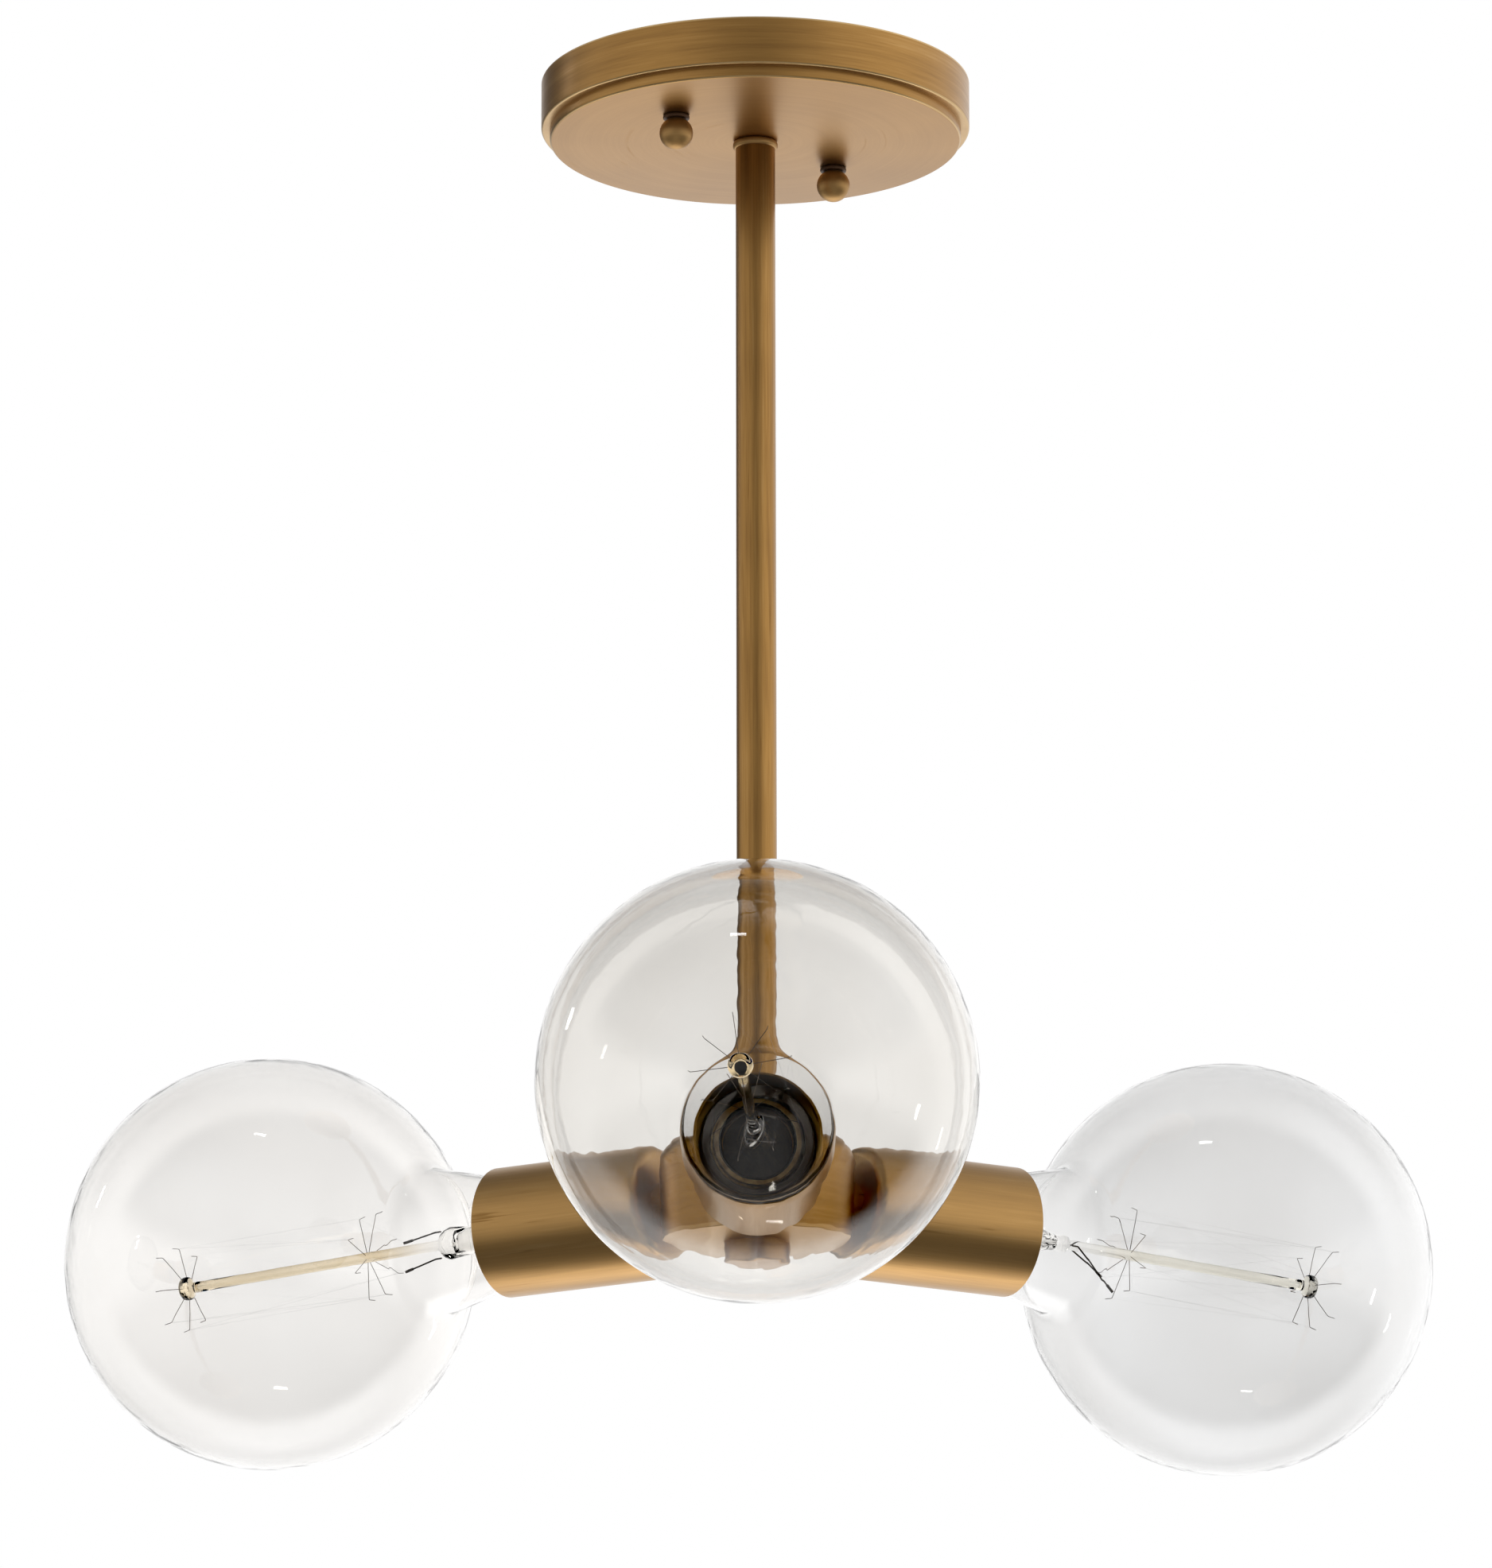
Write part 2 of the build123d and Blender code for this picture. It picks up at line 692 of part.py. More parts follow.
    save(f"{name}_glass_mount", leaned(glass_mount.part, azimuth, mount_foot, mount_lean[name]))

    # Lead wires: out of the press, bent aside, with a thicker clamp on each tip
    lead_tips = []
    with BuildPart() as lead_wires:
        for sign, (up, shift, back) in zip(lead_sides[name], lead_tips_at[name]):
            foot = outward * (press_face + 0.02) + across * (4.1 * sign) + Vector(0, 0, hub_z)
            knee = foot + outward * 2.0
            tip = outward * (centre - back) + aside * shift + Vector(0, 0, hub_z + up)
            add(thin_wire([foot, knee, tip], 0.25))
            clamp = (tip - knee).normalized()
            with BuildSketch(Plane(origin=tip - clamp * 2.6, z_dir=clamp)):
                Circle(0.42)
            extrude(amount=2.8)
            lead_tips.append(tip + clamp * 0.2)
    save(f"{name}_lead_wires", leaned(lead_wires.part, azimuth, mount_foot, mount_lean[name]))

    # Support hooks: two stars of fine wire with bent ends, one near the press and one behind the button
    star_tips = {}
    hooks = []
    for distance, lean, foot_radius in ((base_hooks_at, 1.0, rod_radius), (end_hooks_at, -1.0, button_radius)):
        star = outward * (centre - distance) + Vector(0, 0, hub_z)
        tips = []
        for index in range(hook_count):
            angle = radians(360 * index / hook_count + (11 if distance > 0 else 33))
            spoke = across * cos(angle) + through * sin(angle)
            reach = hook_reach - (1.6 if index % 2 else 0.0)
            root = star + spoke * (foot_radius + 0.03)
            bend = star + spoke * reach - outward * (1.4 * lean)
            tip = bend - outward * (hook_tip * lean) + spoke * 0.5
            hooks.append(thin_wire([root, bend, tip], hook_radius))
            tips.append(bend + spoke * (hook_radius + filament_radius + 0.02))
        star_tips[distance] = tips
    hook_stars = leaned(Compound(children=hooks), azimuth, mount_foot, mount_lean[name])
    save(f"{name}_support_hooks", hook_stars)

    # Filament: to and fro between the two stars, from one lead to the other
    filament_points = [lead_tips[0]]
    for end_tip, base_tip in zip(star_tips[end_hooks_at], star_tips[base_hooks_at]):
        filament_points.append(end_tip)
        filament_points.append(base_tip)
    filament_points.append(lead_tips[1])
    filament = thin_wire(filament_points, filament_radius)
    save(f"{name}_filament", leaned(filament, azimuth, mount_foot, mount_lean[name]))

save("hot_wires", Compound(children=hot_leads))
save("neutral_wires", Compound(children=neutral_leads))
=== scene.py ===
import math
import bmesh
import bpy
from mathutils import Matrix, Vector


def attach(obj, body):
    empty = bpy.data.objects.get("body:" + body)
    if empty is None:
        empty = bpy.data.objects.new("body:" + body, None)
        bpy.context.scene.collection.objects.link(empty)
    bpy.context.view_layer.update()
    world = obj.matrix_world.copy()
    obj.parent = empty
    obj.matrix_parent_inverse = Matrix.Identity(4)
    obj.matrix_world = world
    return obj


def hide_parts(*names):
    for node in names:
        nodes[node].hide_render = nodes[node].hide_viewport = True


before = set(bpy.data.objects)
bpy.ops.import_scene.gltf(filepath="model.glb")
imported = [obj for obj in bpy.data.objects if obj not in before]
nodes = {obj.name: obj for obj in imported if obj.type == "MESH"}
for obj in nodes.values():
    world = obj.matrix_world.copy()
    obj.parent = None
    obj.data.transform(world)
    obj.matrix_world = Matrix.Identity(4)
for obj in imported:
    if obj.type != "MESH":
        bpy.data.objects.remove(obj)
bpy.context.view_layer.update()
print("frame loaded:", len(nodes), "nodes")

mm = 0.001
armAzimuths = {"front": -90.0, "right": 30.0, "left": 150.0}
hubHeight = -347.0 * mm


class Signal:
    # One output of a node tree, so that maths on it reads as plain arithmetic
    def __init__(self, tree, socket=None):
        self.tree = tree
        self.socket = socket

    def node(self, kind, settings=None, inputs=None, output=0):
        made = self.tree.nodes.new(kind)
        for key, value in (settings or {}).items():
            setattr(made, key, value)
        for key, value in (inputs or {}).items():
            if isinstance(value, Signal):
                self.tree.links.new(value.socket, made.inputs[key])
            else:
                made.inputs[key].default_value = value
        return Signal(self.tree, made.outputs[output] if made.outputs else None)

    def maths(self, operation, *values):
        return self.node("ShaderNodeMath", {"operation": operation}, dict(enumerate(values)))

    def __add__(self, other):
        return self.maths("ADD", self, other)

    def __radd__(self, other):
        return self.maths("ADD", other, self)

    def __sub__(self, other):
        return self.maths("SUBTRACT", self, other)

    def __rsub__(self, other):
        return self.maths("SUBTRACT", other, self)

    def __mul__(self, other):
        return self.maths("MULTIPLY", self, other)

    def __rmul__(self, other):
        return self.maths("MULTIPLY", other, self)

    def __truediv__(self, other):
        return self.maths("DIVIDE", self, other)

    def between(self, low, high):
        # 0 below low, 1 above high, smooth in between
        settings = {"interpolation_type": "SMOOTHSTEP"}
        return self.node("ShaderNodeMapRange", settings, {"Value": self, "From Min": low, "From Max": high})

    def blend(self, first, second):
        # colours, first where this is 0 and second where it is 1
        inputs = {0: self, 6: first, 7: second}
        return self.node("ShaderNodeMix", {"data_type": "RGBA"}, inputs, 2)

    def axis(self, letter):
        return self.node("ShaderNodeSeparateXYZ", None, {0: self}, "XYZ".index(letter))

    def scaled(self, x, y, z):
        return self.node("ShaderNodeVectorMath", {"operation": "MULTIPLY"}, {0: self, 1: (x, y, z)})

    def noise(self, detail=2.0, roughness=0.5):
        inputs = {"Vector": self, "Scale": 1.0, "Detail": detail, "Roughness": roughness, "Distortion": 0.0}
        return self.node("ShaderNodeTexNoise", None, inputs)


def colour(red, green, blue):
    return (red, green, blue, 1.0)


def newFinish(name):
    material = bpy.data.materials.new(name)
    material.use_nodes = True
    material.node_tree.nodes.clear()
    start = Signal(material.node_tree)
    return material, start, start.node("ShaderNodeTexCoord", None, None, 3)


def surface(material, start, inputs):
    shader = start.node("ShaderNodeBsdfPrincipled", None, inputs)
    start.node("ShaderNodeOutputMaterial", None, {0: shader})
    return material


def relief(height, strength, depth):
    return height.node("ShaderNodeBump", None, {"Strength": strength, "Distance": depth, "Height": height})


# Antique gold: brown glaze wiped off a gold ground, so the marks run with the brush
gold = {
    "light": colour(0.60, 0.375, 0.150),
    "middle": colour(0.448, 0.238, 0.062),
    "dark": colour(0.20, 0.094, 0.022),
    # edge lines: partly wear, partly painted highlight
    "bright": colour(0.82, 0.60, 0.30),
    "glaze": colour(0.07, 0.032, 0.012),
    "metallic": 0.96,
    "roughness": 0.34,
    "coat": 0.25,
    "coatRoughness": 0.26,
    "markWidth": 0.75 * mm,
    "markLength": 34 * mm,
    "markDepth": 0.012 * mm,
    "speckSize": 3.2 * mm,
}


def brushedGold(name, brush, azimuth=0.0, wornLitHeights=(), wornLitWidth=0.35 * mm, seed=0.0, marked=0.5,
                polish=0.0, satin=0.0):
    material, start, place = newFinish(name)
    turned = start.node("ShaderNodeMapping", None, {
        "Vector": place, "Location": (seed, seed * 0.7, 0.0), "Rotation": (0, 0, math.radians(-azimuth))})
    across, along = 1 / gold["markWidth"], 1 / gold["markLength"]
    if brush == "rings":
        drawn = turned.scaled(along * 1.6, along * 1.6, across)
    elif brush == "upright":
        drawn = turned.scaled(across, across, along)
    elif brush == "arm":
        drawn = turned.scaled(along * 1.4, across, across)
    else:
        # a flat spun face: marks run round the middle
        radius = start.node("ShaderNodeVectorMath", {"operation": "LENGTH"}, {0: place.scaled(1, 1, 0)}, 1)
        drawn = start.node("ShaderNodeCombineXYZ", None, {
            0: radius * across, 1: place.axis("X") * along, 2: place.axis("Y") * along})
    fine = drawn.noise(4.0, 0.62)
    wide = drawn.scaled(0.22, 0.22, 0.22).noise(2.0, 0.5)
    cloud = place.scaled(26, 26, 26).noise(2.0, 0.55)
    marks = ((fine - 0.5) * 0.9 + (wide - 0.5) * 0.8) * marked + 0.5
    glaze = marks.between(0.10, 0.60) * 0.8 + cloud.between(0.25, 0.75) * 0.2
    tone = glaze.blend(gold["dark"], gold["middle"])
    tone = (marks.between(0.50, 0.90) + polish).blend(tone, gold["light"])
    streak = drawn.scaled(0.6, 0.6, 0.6).noise(3.0, 0.6).between(0.60, 0.70) * cloud.between(0.50, 0.62)
    tone = (streak * marked * 1.2).blend(tone, gold["dark"])
    cells = start.node("ShaderNodeTexVoronoi", {"feature": "F1"}, {
        "Vector": place, "Scale": 1 / gold["speckSize"] / 6, "Randomness": 1.0})
    specks = (1 - cells.between(0.020, 0.034)) * fine.between(0.50, 0.56)
    tone = (specks * 0.85).blend(tone, gold["glaze"])
    # lighter gold lines at the given heights: partly wear, partly painted highlight where the edges catch the
    # light
    height = place.axis("Z")
    for wornLitEdge in wornLitHeights:
        line = 1 - (height - wornLitEdge).maths("ABSOLUTE", height - wornLitEdge).between(wornLitWidth * 0.4, wornLitWidth)
        tone = (line * (0.3 + fine * 0.5)).blend(tone, gold["bright"])
    shine = gold["roughness"] + satin + (0.5 - marks) * 0.16 + specks * 0.2
    return surface(material, start, {
        "Base Color": tone,
        "Metallic": gold["metallic"],
        "Roughness": shine,
        "Coat Weight": gold["coat"] - streak * 0.3,
        "Coat Roughness": gold["coatRoughness"] + satin,
        "Normal": relief(marks, 0.3, gold["markDepth"]),
    })


def paintedMetal(name, deep, pale, roughness, grain=900.0, metallic=0.0):
    material, start, place = newFinish(name)
    mottle = place.scaled(grain * 0.12, grain * 0.12, grain * 0.12).noise(3.0, 0.6)
    peel = place.scaled(grain, grain, grain).noise(2.0, 0.5)
    return surface(material, start, {
        "Base Color": mottle.between(0.3, 0.7).blend(deep, pale),
        "Metallic": metallic,
        "Roughness": roughness + (mottle - 0.5) * 0.18,
        "Normal": relief(peel, 0.2, 0.02 * mm),
    })


def zincSteel(name):
    # thin zinc plating: pale, a little blue and yellow in patches
    material, start, place = newFinish(name)
    patch = place.scaled(180, 180, 180).noise(2.0, 0.5)
    drawn = place.scaled(1500, 1500, 200).noise(3.0, 0.6)
    return surface(material, start, {
        "Base Color": patch.between(0.3, 0.7).blend(colour(0.56, 0.57, 0.58), colour(0.66, 0.64, 0.58)),
        "Metallic": 1.0,
        "Roughness": 0.30 + drawn * 0.16,
        "Normal": relief(drawn, 0.15, 0.01 * mm),
    })


def bareMetal(name, deep, pale, roughness):
    # brass, copper and solder: rolled or drawn, a little tarnished
    material, start, place = newFinish(name)
    tarnish = place.scaled(240, 240, 240).noise(4.0, 0.6)
    drawn = place.scaled(2400, 2400, 900).noise(2.0, 0.5)
    return surface(material, start, {
        "Base Color": tarnish.between(0.32, 0.7).blend(pale, deep),
        "Metallic": 1.0,
        "Roughness": roughness + tarnish * 0.2,
        "Normal": relief(drawn, 0.12, 0.01 * mm),
    })


def mouldedPlastic(name, deep, pale, roughness, depth=0.02 * mm):
    material, start, place = newFinish(name)
    flow = place.scaled(120, 120, 120).noise(3.0, 0.6)
    pebble = place.scaled(2600, 2600, 2600).noise(2.0, 0.5)
    return surface(material, start, {
        "Base Color": flow.between(0.3, 0.7).blend(deep, pale),
        "Roughness": roughness + (flow - 0.5) * 0.16,
        "Normal": relief(pebble, 0.25, depth),
    })


# Lamp glass: blown, so it ripples a little; light passes through it, so it casts only a faint shadow.
# The glass mount is clear near the press, within mountClear metres of the stem's axis, and toned further out,
# with a different tone on each lamp that is partly painted light and shade.
glass = {
    # a slight tint of the glass, made lighter or darker on each globe: painted light and shade
    "glassTintAndShade": {
        "left": (colour(0.990, 0.981, 0.968), colour(0.965, 0.953, 0.938)),
        "right": (colour(0.932, 0.932, 0.931), colour(0.908, 0.904, 0.898)),
        "front": (colour(0.930, 0.918, 0.897), colour(0.898, 0.882, 0.856)),
    },
    # each mount's own tone, cream to amber: partly painted light and shade on the same glass
    "mountTintAndShade": {
        "left": (colour(0.90, 0.79, 0.60), colour(0.84, 0.71, 0.50)),
        "right": (colour(0.96, 0.94, 0.86), colour(0.93, 0.90, 0.80)),
        "front": (colour(0.86, 0.70, 0.44), colour(0.78, 0.60, 0.34)),
    },
    "mountClear": 0.108,
    "mountRoughness": 0.04,
    "pressTint": colour(0.97, 0.96, 0.94),
    "shadow": colour(0.93, 0.93, 0.92),
    "ior": 1.5,
    "ripple": 0.10 * mm,
    "rippleSize": 15.0 * mm,
}


def clearGlass(name, ripple, light, dark, roughness=0.0, clearNear=None):
    material, start, place = newFinish(name)
    size = 1 / glass["rippleSize"]
    wave = place.scaled(size, size, size).noise(2.0, 0.5)
    haze = place.scaled(22, 22, 22).noise(1.0, 0.5)
    tone = haze.between(0.3, 0.7).blend(light, dark)
    if clearNear:
        reach = start.node("ShaderNodeVectorMath", {"operation": "LENGTH"}, {0: place.scaled(1, 1, 0)}, 1)
        tone = reach.between(clearNear, clearNear * 1.25).blend(glass["pressTint"], tone)
    body = start.node("ShaderNodeBsdfPrincipled", None, {
        "Base Color": tone,
        "Roughness": roughness,
        "IOR": glass["ior"],
        "Transmission Weight": 1.0,
        "Normal": relief(wave, 1.0, ripple),
    })
    through = start.node("ShaderNodeBsdfTransparent", None, {"Color": glass["shadow"]})
    shadow = start.node("ShaderNodeLightPath", None, None, "Is Shadow Ray")
    both = start.node("ShaderNodeMixShader", None, {0: shadow, 1: body, 2: through})
    start.node("ShaderNodeOutputMaterial", None, {0: both})
    return material


finishes = {
    "canopyGold": brushedGold(
        "canopyGold", "rings", wornLitHeights=(-14.3 * mm, -17.8 * mm, -0.2 * mm), seed=0.3),
    "faceGold": brushedGold("faceGold", "spun", seed=1.1, marked=0.16),
    "coverGold": brushedGold("coverGold", "spun", seed=1.6, marked=0.16, polish=0.7),
    "stemGold": brushedGold("stemGold", "upright", seed=2.4, marked=0.7),
    "hubGold": brushedGold("hubGold", "rings", seed=3.2, marked=0.4),
    "knobGold": brushedGold("knobGold", "rings", seed=4.5, marked=0.3, satin=0.14, polish=0.5),
    # the knob necks are coloured near-black brown, much darker than the gold round them
    "darkNeckMetal": paintedMetal(
        "darkNeckMetal", colour(0.055, 0.026, 0.011), colour(0.12, 0.06, 0.026), 0.45, metallic=0.5),
    "zincSteel": zincSteel("zincSteel"),
    "earthGreen": paintedMetal("earthGreen", colour(0.008, 0.115, 0.03), colour(0.012, 0.16, 0.045), 0.4),
    "copper": bareMetal("copper", colour(0.42, 0.17, 0.09), colour(0.80, 0.42, 0.27), 0.22),
    "brass": bareMetal("brass", colour(0.42, 0.24, 0.08), colour(0.80, 0.56, 0.24), 0.22),
    "solder": bareMetal("solder", colour(0.36, 0.36, 0.36), colour(0.60, 0.60, 0.61), 0.36),
    "leadWire": bareMetal("leadWire", colour(0.030, 0.024, 0.020), colour(0.09, 0.07, 0.055), 0.36),
    "hookWire": bareMetal("hookWire", colour(0.10, 0.075, 0.055), colour(0.24, 0.19, 0.145), 0.4),
    "tungsten": bareMetal("tungsten", colour(0.16, 0.16, 0.16), colour(0.30, 0.30, 0.30), 0.4),
    "blackPhenolic": mouldedPlastic(
        "blackPhenolic", colour(0.045, 0.033, 0.025), colour(0.085, 0.064, 0.050), 0.44),
    "blackInsulator": mouldedPlastic(
        "blackInsulator", colour(0.030, 0.022, 0.017), colour(0.060, 0.046, 0.036), 0.25),
    "blackWire": mouldedPlastic(
        "blackWire", colour(0.010, 0.010, 0.011), colour(0.022, 0.022, 0.023), 0.46),
    "whiteWire": mouldedPlastic("whiteWire", colour(0.62, 0.61, 0.56), colour(0.74, 0.73, 0.69), 0.42),
}
for armName, armAzimuth in armAzimuths.items():
    finishName = armName + "CupGold"
    finishes[finishName] = brushedGold(
        finishName, "arm", azimuth=armAzimuth, seed=5.0 + armAzimuth * 0.01, polish=0.35)
    finishName = armName + "GlobeGlass"
    finishes[finishName] = clearGlass(finishName, glass["ripple"], *glass["glassTintAndShade"][armName])
    finishName = armName + "MountGlass"
    finishes[finishName] = clearGlass(
        finishName, 0.0, *glass["mountTintAndShade"][armName], glass["mountRoughness"], glass["mountClear"])
print("finishes made:", len(finishes))


def addPiece(name, mesh, body, finish, slot, *replaced):
    mesh.name = name
    mesh.materials.clear()
    mesh.materials.append(finishes[finish])
    piece = bpy.data.objects.new(name, mesh)
    bpy.context.scene.collection.objects.link(piece)
    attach(piece, body)
    if replaced:
        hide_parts(*replaced)
    return piece


# A bend given as a third number rounds that corner of a (radius, height) outline
def rounded(corners, closed=True, facets=7):
    count = len(corners)
    outline = []
    for index, corner in enumerate(corners):
        here = Vector(corner[:2])
        loose = not closed and index in (0, count - 1)
        if len(corner) < 3 or loose:
            outline.append(tuple(here))
            continue
        before = (Vector(corners[index - 1][:2]) - here).normalized()
        after = (Vector(corners[(index + 1) % count][:2]) - here).normalized()
        half = before.angle(after) / 2
        reach = corner[2] / math.tan(half)
        middle = here + (before + after).normalized() * (corner[2] / math.sin(half))
        first, last = here + before * reach - middle, here + after * reach - middle
        sweep = first.angle_signed(last)
        for step in range(facets + 1):
            turn = -sweep * step / facets
            outline.append((
                middle.x + first.x * math.cos(turn) - first.y * math.sin(turn),
                middle.y + first.x * math.sin(turn) + first.y * math.cos(turn)))
    return outline


# Turns a (radius, height) outline about local Z, in millimetres, and puts it in place
def turnedMesh(name, outline, steps=96, place=None, shape=None, sharp=38.0):
    build = bmesh.new()
    rings = []
    for radius, height in outline:
        if radius < 1e-6:
            rings.append([build.verts.new((0, 0, height * mm))])
            continue
        ring = []
        for step in range(steps):
            angle = 2 * math.pi * step / steps
            spot = (radius * mm * math.cos(angle), radius * mm * math.sin(angle), height * mm)
            ring.append(build.verts.new(spot))
        rings.append(ring)
    pairs = list(zip(rings, rings[1:]))
    if len(rings[0]) > 1 and len(rings[-1]) > 1:
        pairs.append((rings[-1], rings[0]))
    for near, far in pairs:
        for step in range(steps):
            following = (step + 1) % steps
            if len(near) == 1 and len(far) == 1:
                break
            if len(near) == 1:
                build.faces.new((near[0], far[following], far[step]))
            elif len(far) == 1:
                build.faces.new((near[step], near[following], far[0]))
            else:
                build.faces.new((near[step], near[following], far[following], far[step]))
    if shape:
        for vertex in build.verts:
            vertex.co = shape(vertex.co)
    bmesh.ops.recalc_face_normals(build, faces=build.faces)
    mesh = bpy.data.meshes.new(name)
    build.to_mesh(mesh)
    build.free()
    finishMesh(mesh, place, sharp)
    return mesh


def finishMesh(mesh, place=None, sharp=38.0):
    if place:
        mesh.transform(place)
    mesh.shade_smooth()
    mesh.set_sharp_from_angle(angle=math.radians(sharp))


# Local Z runs outward along an arm from the stem's axis, local X is up
def armPlace(azimuth, distance=0.0):
    outward = Vector((math.cos(math.radians(azimuth)), math.sin(math.radians(azimuth)), 0))
    up = Vector((0, 0, 1))
    turned = Matrix((up, outward.cross(up), outward)).transposed().to_4x4()
    return Matrix.Translation(Vector((0, 0, hubHeight)) + outward * distance * mm) @ turned


# The same place, leaned down and aside (degrees) about a pivot behind it: glasswork is never quite true
def leanPlace(azimuth, distance, pivot, lean):
    down, aside = lean
    back = Matrix.Translation((0, 0, -pivot * mm))
    turn = Matrix.Rotation(math.radians(math.hypot(down, aside)), 4, Vector((-aside, -down, 0)))
    return armPlace(azimuth, distance) @ back @ turn @ back.inverted()


# Runs a Geometry Nodes tree on a mesh and gives back the plain mesh that it makes
def grownMesh(name, tree, values, seedMesh=None):
    holder = bpy.data.objects.new(name + "Seed", seedMesh or bpy.data.meshes.new(name + "Seed"))
    bpy.context.scene.collection.objects.link(holder)
    modifier = holder.modifiers.new("Grow", "NODES")
    modifier.node_group = tree
    for item in tree.interface.items_tree:
        if item.in_out == "INPUT" and item.name in values:
            modifier[item.identifier] = values[item.name]
    graph = bpy.context.evaluated_depsgraph_get()
    mesh = bpy.data.meshes.new_from_object(holder.evaluated_get(graph))
    holder.modifiers.remove(modifier)
    bpy.data.objects.remove(holder)
    return mesh


def newTree(name, numbers, hasMesh=False):
    tree = bpy.data.node_groups.new(name, "GeometryNodeTree")
    kinds = {float: "NodeSocketFloat", int: "NodeSocketInt"}
    if hasMesh:
        tree.interface.new_socket("Mesh", in_out="INPUT", socket_type="NodeSocketGeometry")
    for label, value in numbers.items():
        socket = tree.interface.new_socket(label, in_out="INPUT", socket_type=kinds[type(value)])
        socket.default_value = value
    tree.interface.new_socket("Finish", in_out="INPUT", socket_type="NodeSocketMaterial")
    tree.interface.new_socket("Mesh", in_out="OUTPUT", socket_type="NodeSocketGeometry")
    entry = tree.nodes.new("NodeGroupInput")
    given = {socket.name: Signal(tree, socket) for socket in entry.outputs if socket.name}
    return tree, Signal(tree), given


def closeTree(tree, start, shape, finish):
    real = start.node("GeometryNodeRealizeInstances", None, {0: shape})
    dressed = start.node("GeometryNodeSetMaterial", None, {"Geometry": real, "Material": finish})
    start.node("NodeGroupOutput", None, {0: dressed})


# Canopy: upper tier, ledge, lower tier and flat face, open above
canopy = {
    "radius": 65.0, "ledge": -14.5, "faceRadius": 62.4, "face": -18.0, "wall": 0.9,
    "lip": 0.7, "edge": 0.8, "hole": 5.0,
}


def buildCanopy():
    size = canopy
    inner = size["wall"]
    outline = rounded([
        (size["hole"], size["face"]),
        (size["faceRadius"], size["face"], size["edge"]),
        (size["faceRadius"], size["ledge"]),
        (size["radius"], size["ledge"], size["lip"]),
        (size["radius"], 0.0),
        (size["radius"] - inner, 0.0),
        (size["radius"] - inner, size["ledge"] + inner),
        (size["faceRadius"] - inner, size["ledge"] + inner),
        (size["faceRadius"] - inner, size["face"] + inner),
        (size["hole"], size["face"] + inner),
    ])
    mesh = turnedMesh("canopyShell", outline, 192)
    addPiece("canopyShell", mesh, "fixture", "canopyGold", "antique_gold", "canopy")
    mesh.materials.append(finishes["faceGold"])
    for face in mesh.polygons:
        flat = abs(face.normal.z) > 0.9 and face.center.z < (size["face"] + 0.5) * mm
        face.material_index = 1 if flat else 0


# Stem with the small collar under the canopy
stem = {
    "radius": 6.0, "bore": 5.0, "top": -20.4, "foot": -331.0, "edge": 0.12,
    "collarRadius": 6.8, "collarBend": 1.0,
}


def buildStem():
    tube = rounded([
        (stem["bore"], stem["foot"]), (stem["radius"], stem["foot"], stem["edge"]),
        (stem["radius"], stem["top"], stem["edge"]), (stem["bore"], stem["top"]),
    ], facets=3)
    addPiece("stemTube", turnedMesh("stemTube", tube, 96), "fixture", "stemGold", "antique_gold", "stem")
    collar = rounded([
        (canopy["hole"], stem["top"]), (stem["collarRadius"], stem["top"], stem["collarBend"]),
        (stem["collarRadius"], canopy["face"], stem["collarBend"]), (canopy["hole"], canopy["face"]),
    ])
    mesh = turnedMesh("stemCollar", collar, 96)
    addPiece("stemCollar", mesh, "fixture", "knobGold", "antique_gold", "stem_collar")


# Ball knobs and their dark necks, on a circle round the stem
knobs = {
    "azimuth": 47.0, "circle": 35.0, "ball": 5.05, "ballHeight": -23.6, "neck": 4.0,
    "neckTop": -18.1, "neckFoot": -19.2, "neckEdge": 0.4, "gap": 0.1,
    "bore": 2.14, "boreFoot": -24.6, "arcSteps": 32,
}


def buildKnobs():
    size = knobs
    for side, sign in (("right", 1), ("left", -1)):
        angle = math.radians(size["azimuth"])
        spot = Vector((math.cos(angle), math.sin(angle), 0)) * size["circle"] * sign * mm
        place = Matrix.Translation(spot)
        neck = rounded([
            (size["bore"], size["neckFoot"]), (size["neck"], size["neckFoot"], size["neckEdge"]),
            (size["neck"], size["neckTop"], size["neckEdge"]), (size["bore"], size["neckTop"]),
        ])
        addPiece(side + "KnobNeck", turnedMesh("neck", neck, 48, place), side + "_knob_neck",
                 "darkNeckMetal", "dark_bronze", side + "_knob_washer")
        # the ball is cut flat just below the neck
        flat = size["neckFoot"] - size["gap"]
        rise = math.asin((flat - size["ballHeight"]) / size["ball"])
        arc = []
        for step in range(size["arcSteps"] + 1):
            turn = -math.pi / 2 + (rise + math.pi / 2) * step / size["arcSteps"]
            arc.append((size["ball"] * math.cos(turn), size["ballHeight"] + size["ball"] * math.sin(turn)))
        arc[0] = (0.0, arc[0][1])
        ball = arc + [(size["bore"], flat), (size["bore"], size["boreFoot"]), (0.0, size["boreFoot"])]
        addPiece(side + "BallKnob", turnedMesh("ball", ball, 64, place), side + "_knob",
                 "knobGold", "antique_gold", side + "_ball_knob")


# Hub: the flat cover under the drum, with a low rim that sits in the drum, and the small round cap
hub = {
    "radius": 30.0, "wall": 1.5, "foot": -15.0, "edge": 0.3, "hole": 5.0,
    "rimOut": 1.6, "rimIn": 2.8, "rimHeight": 1.8,
    "cap": 10.25, "capHeight": 8.0, "capEdge": 1.0, "capBore": 5.5,
}


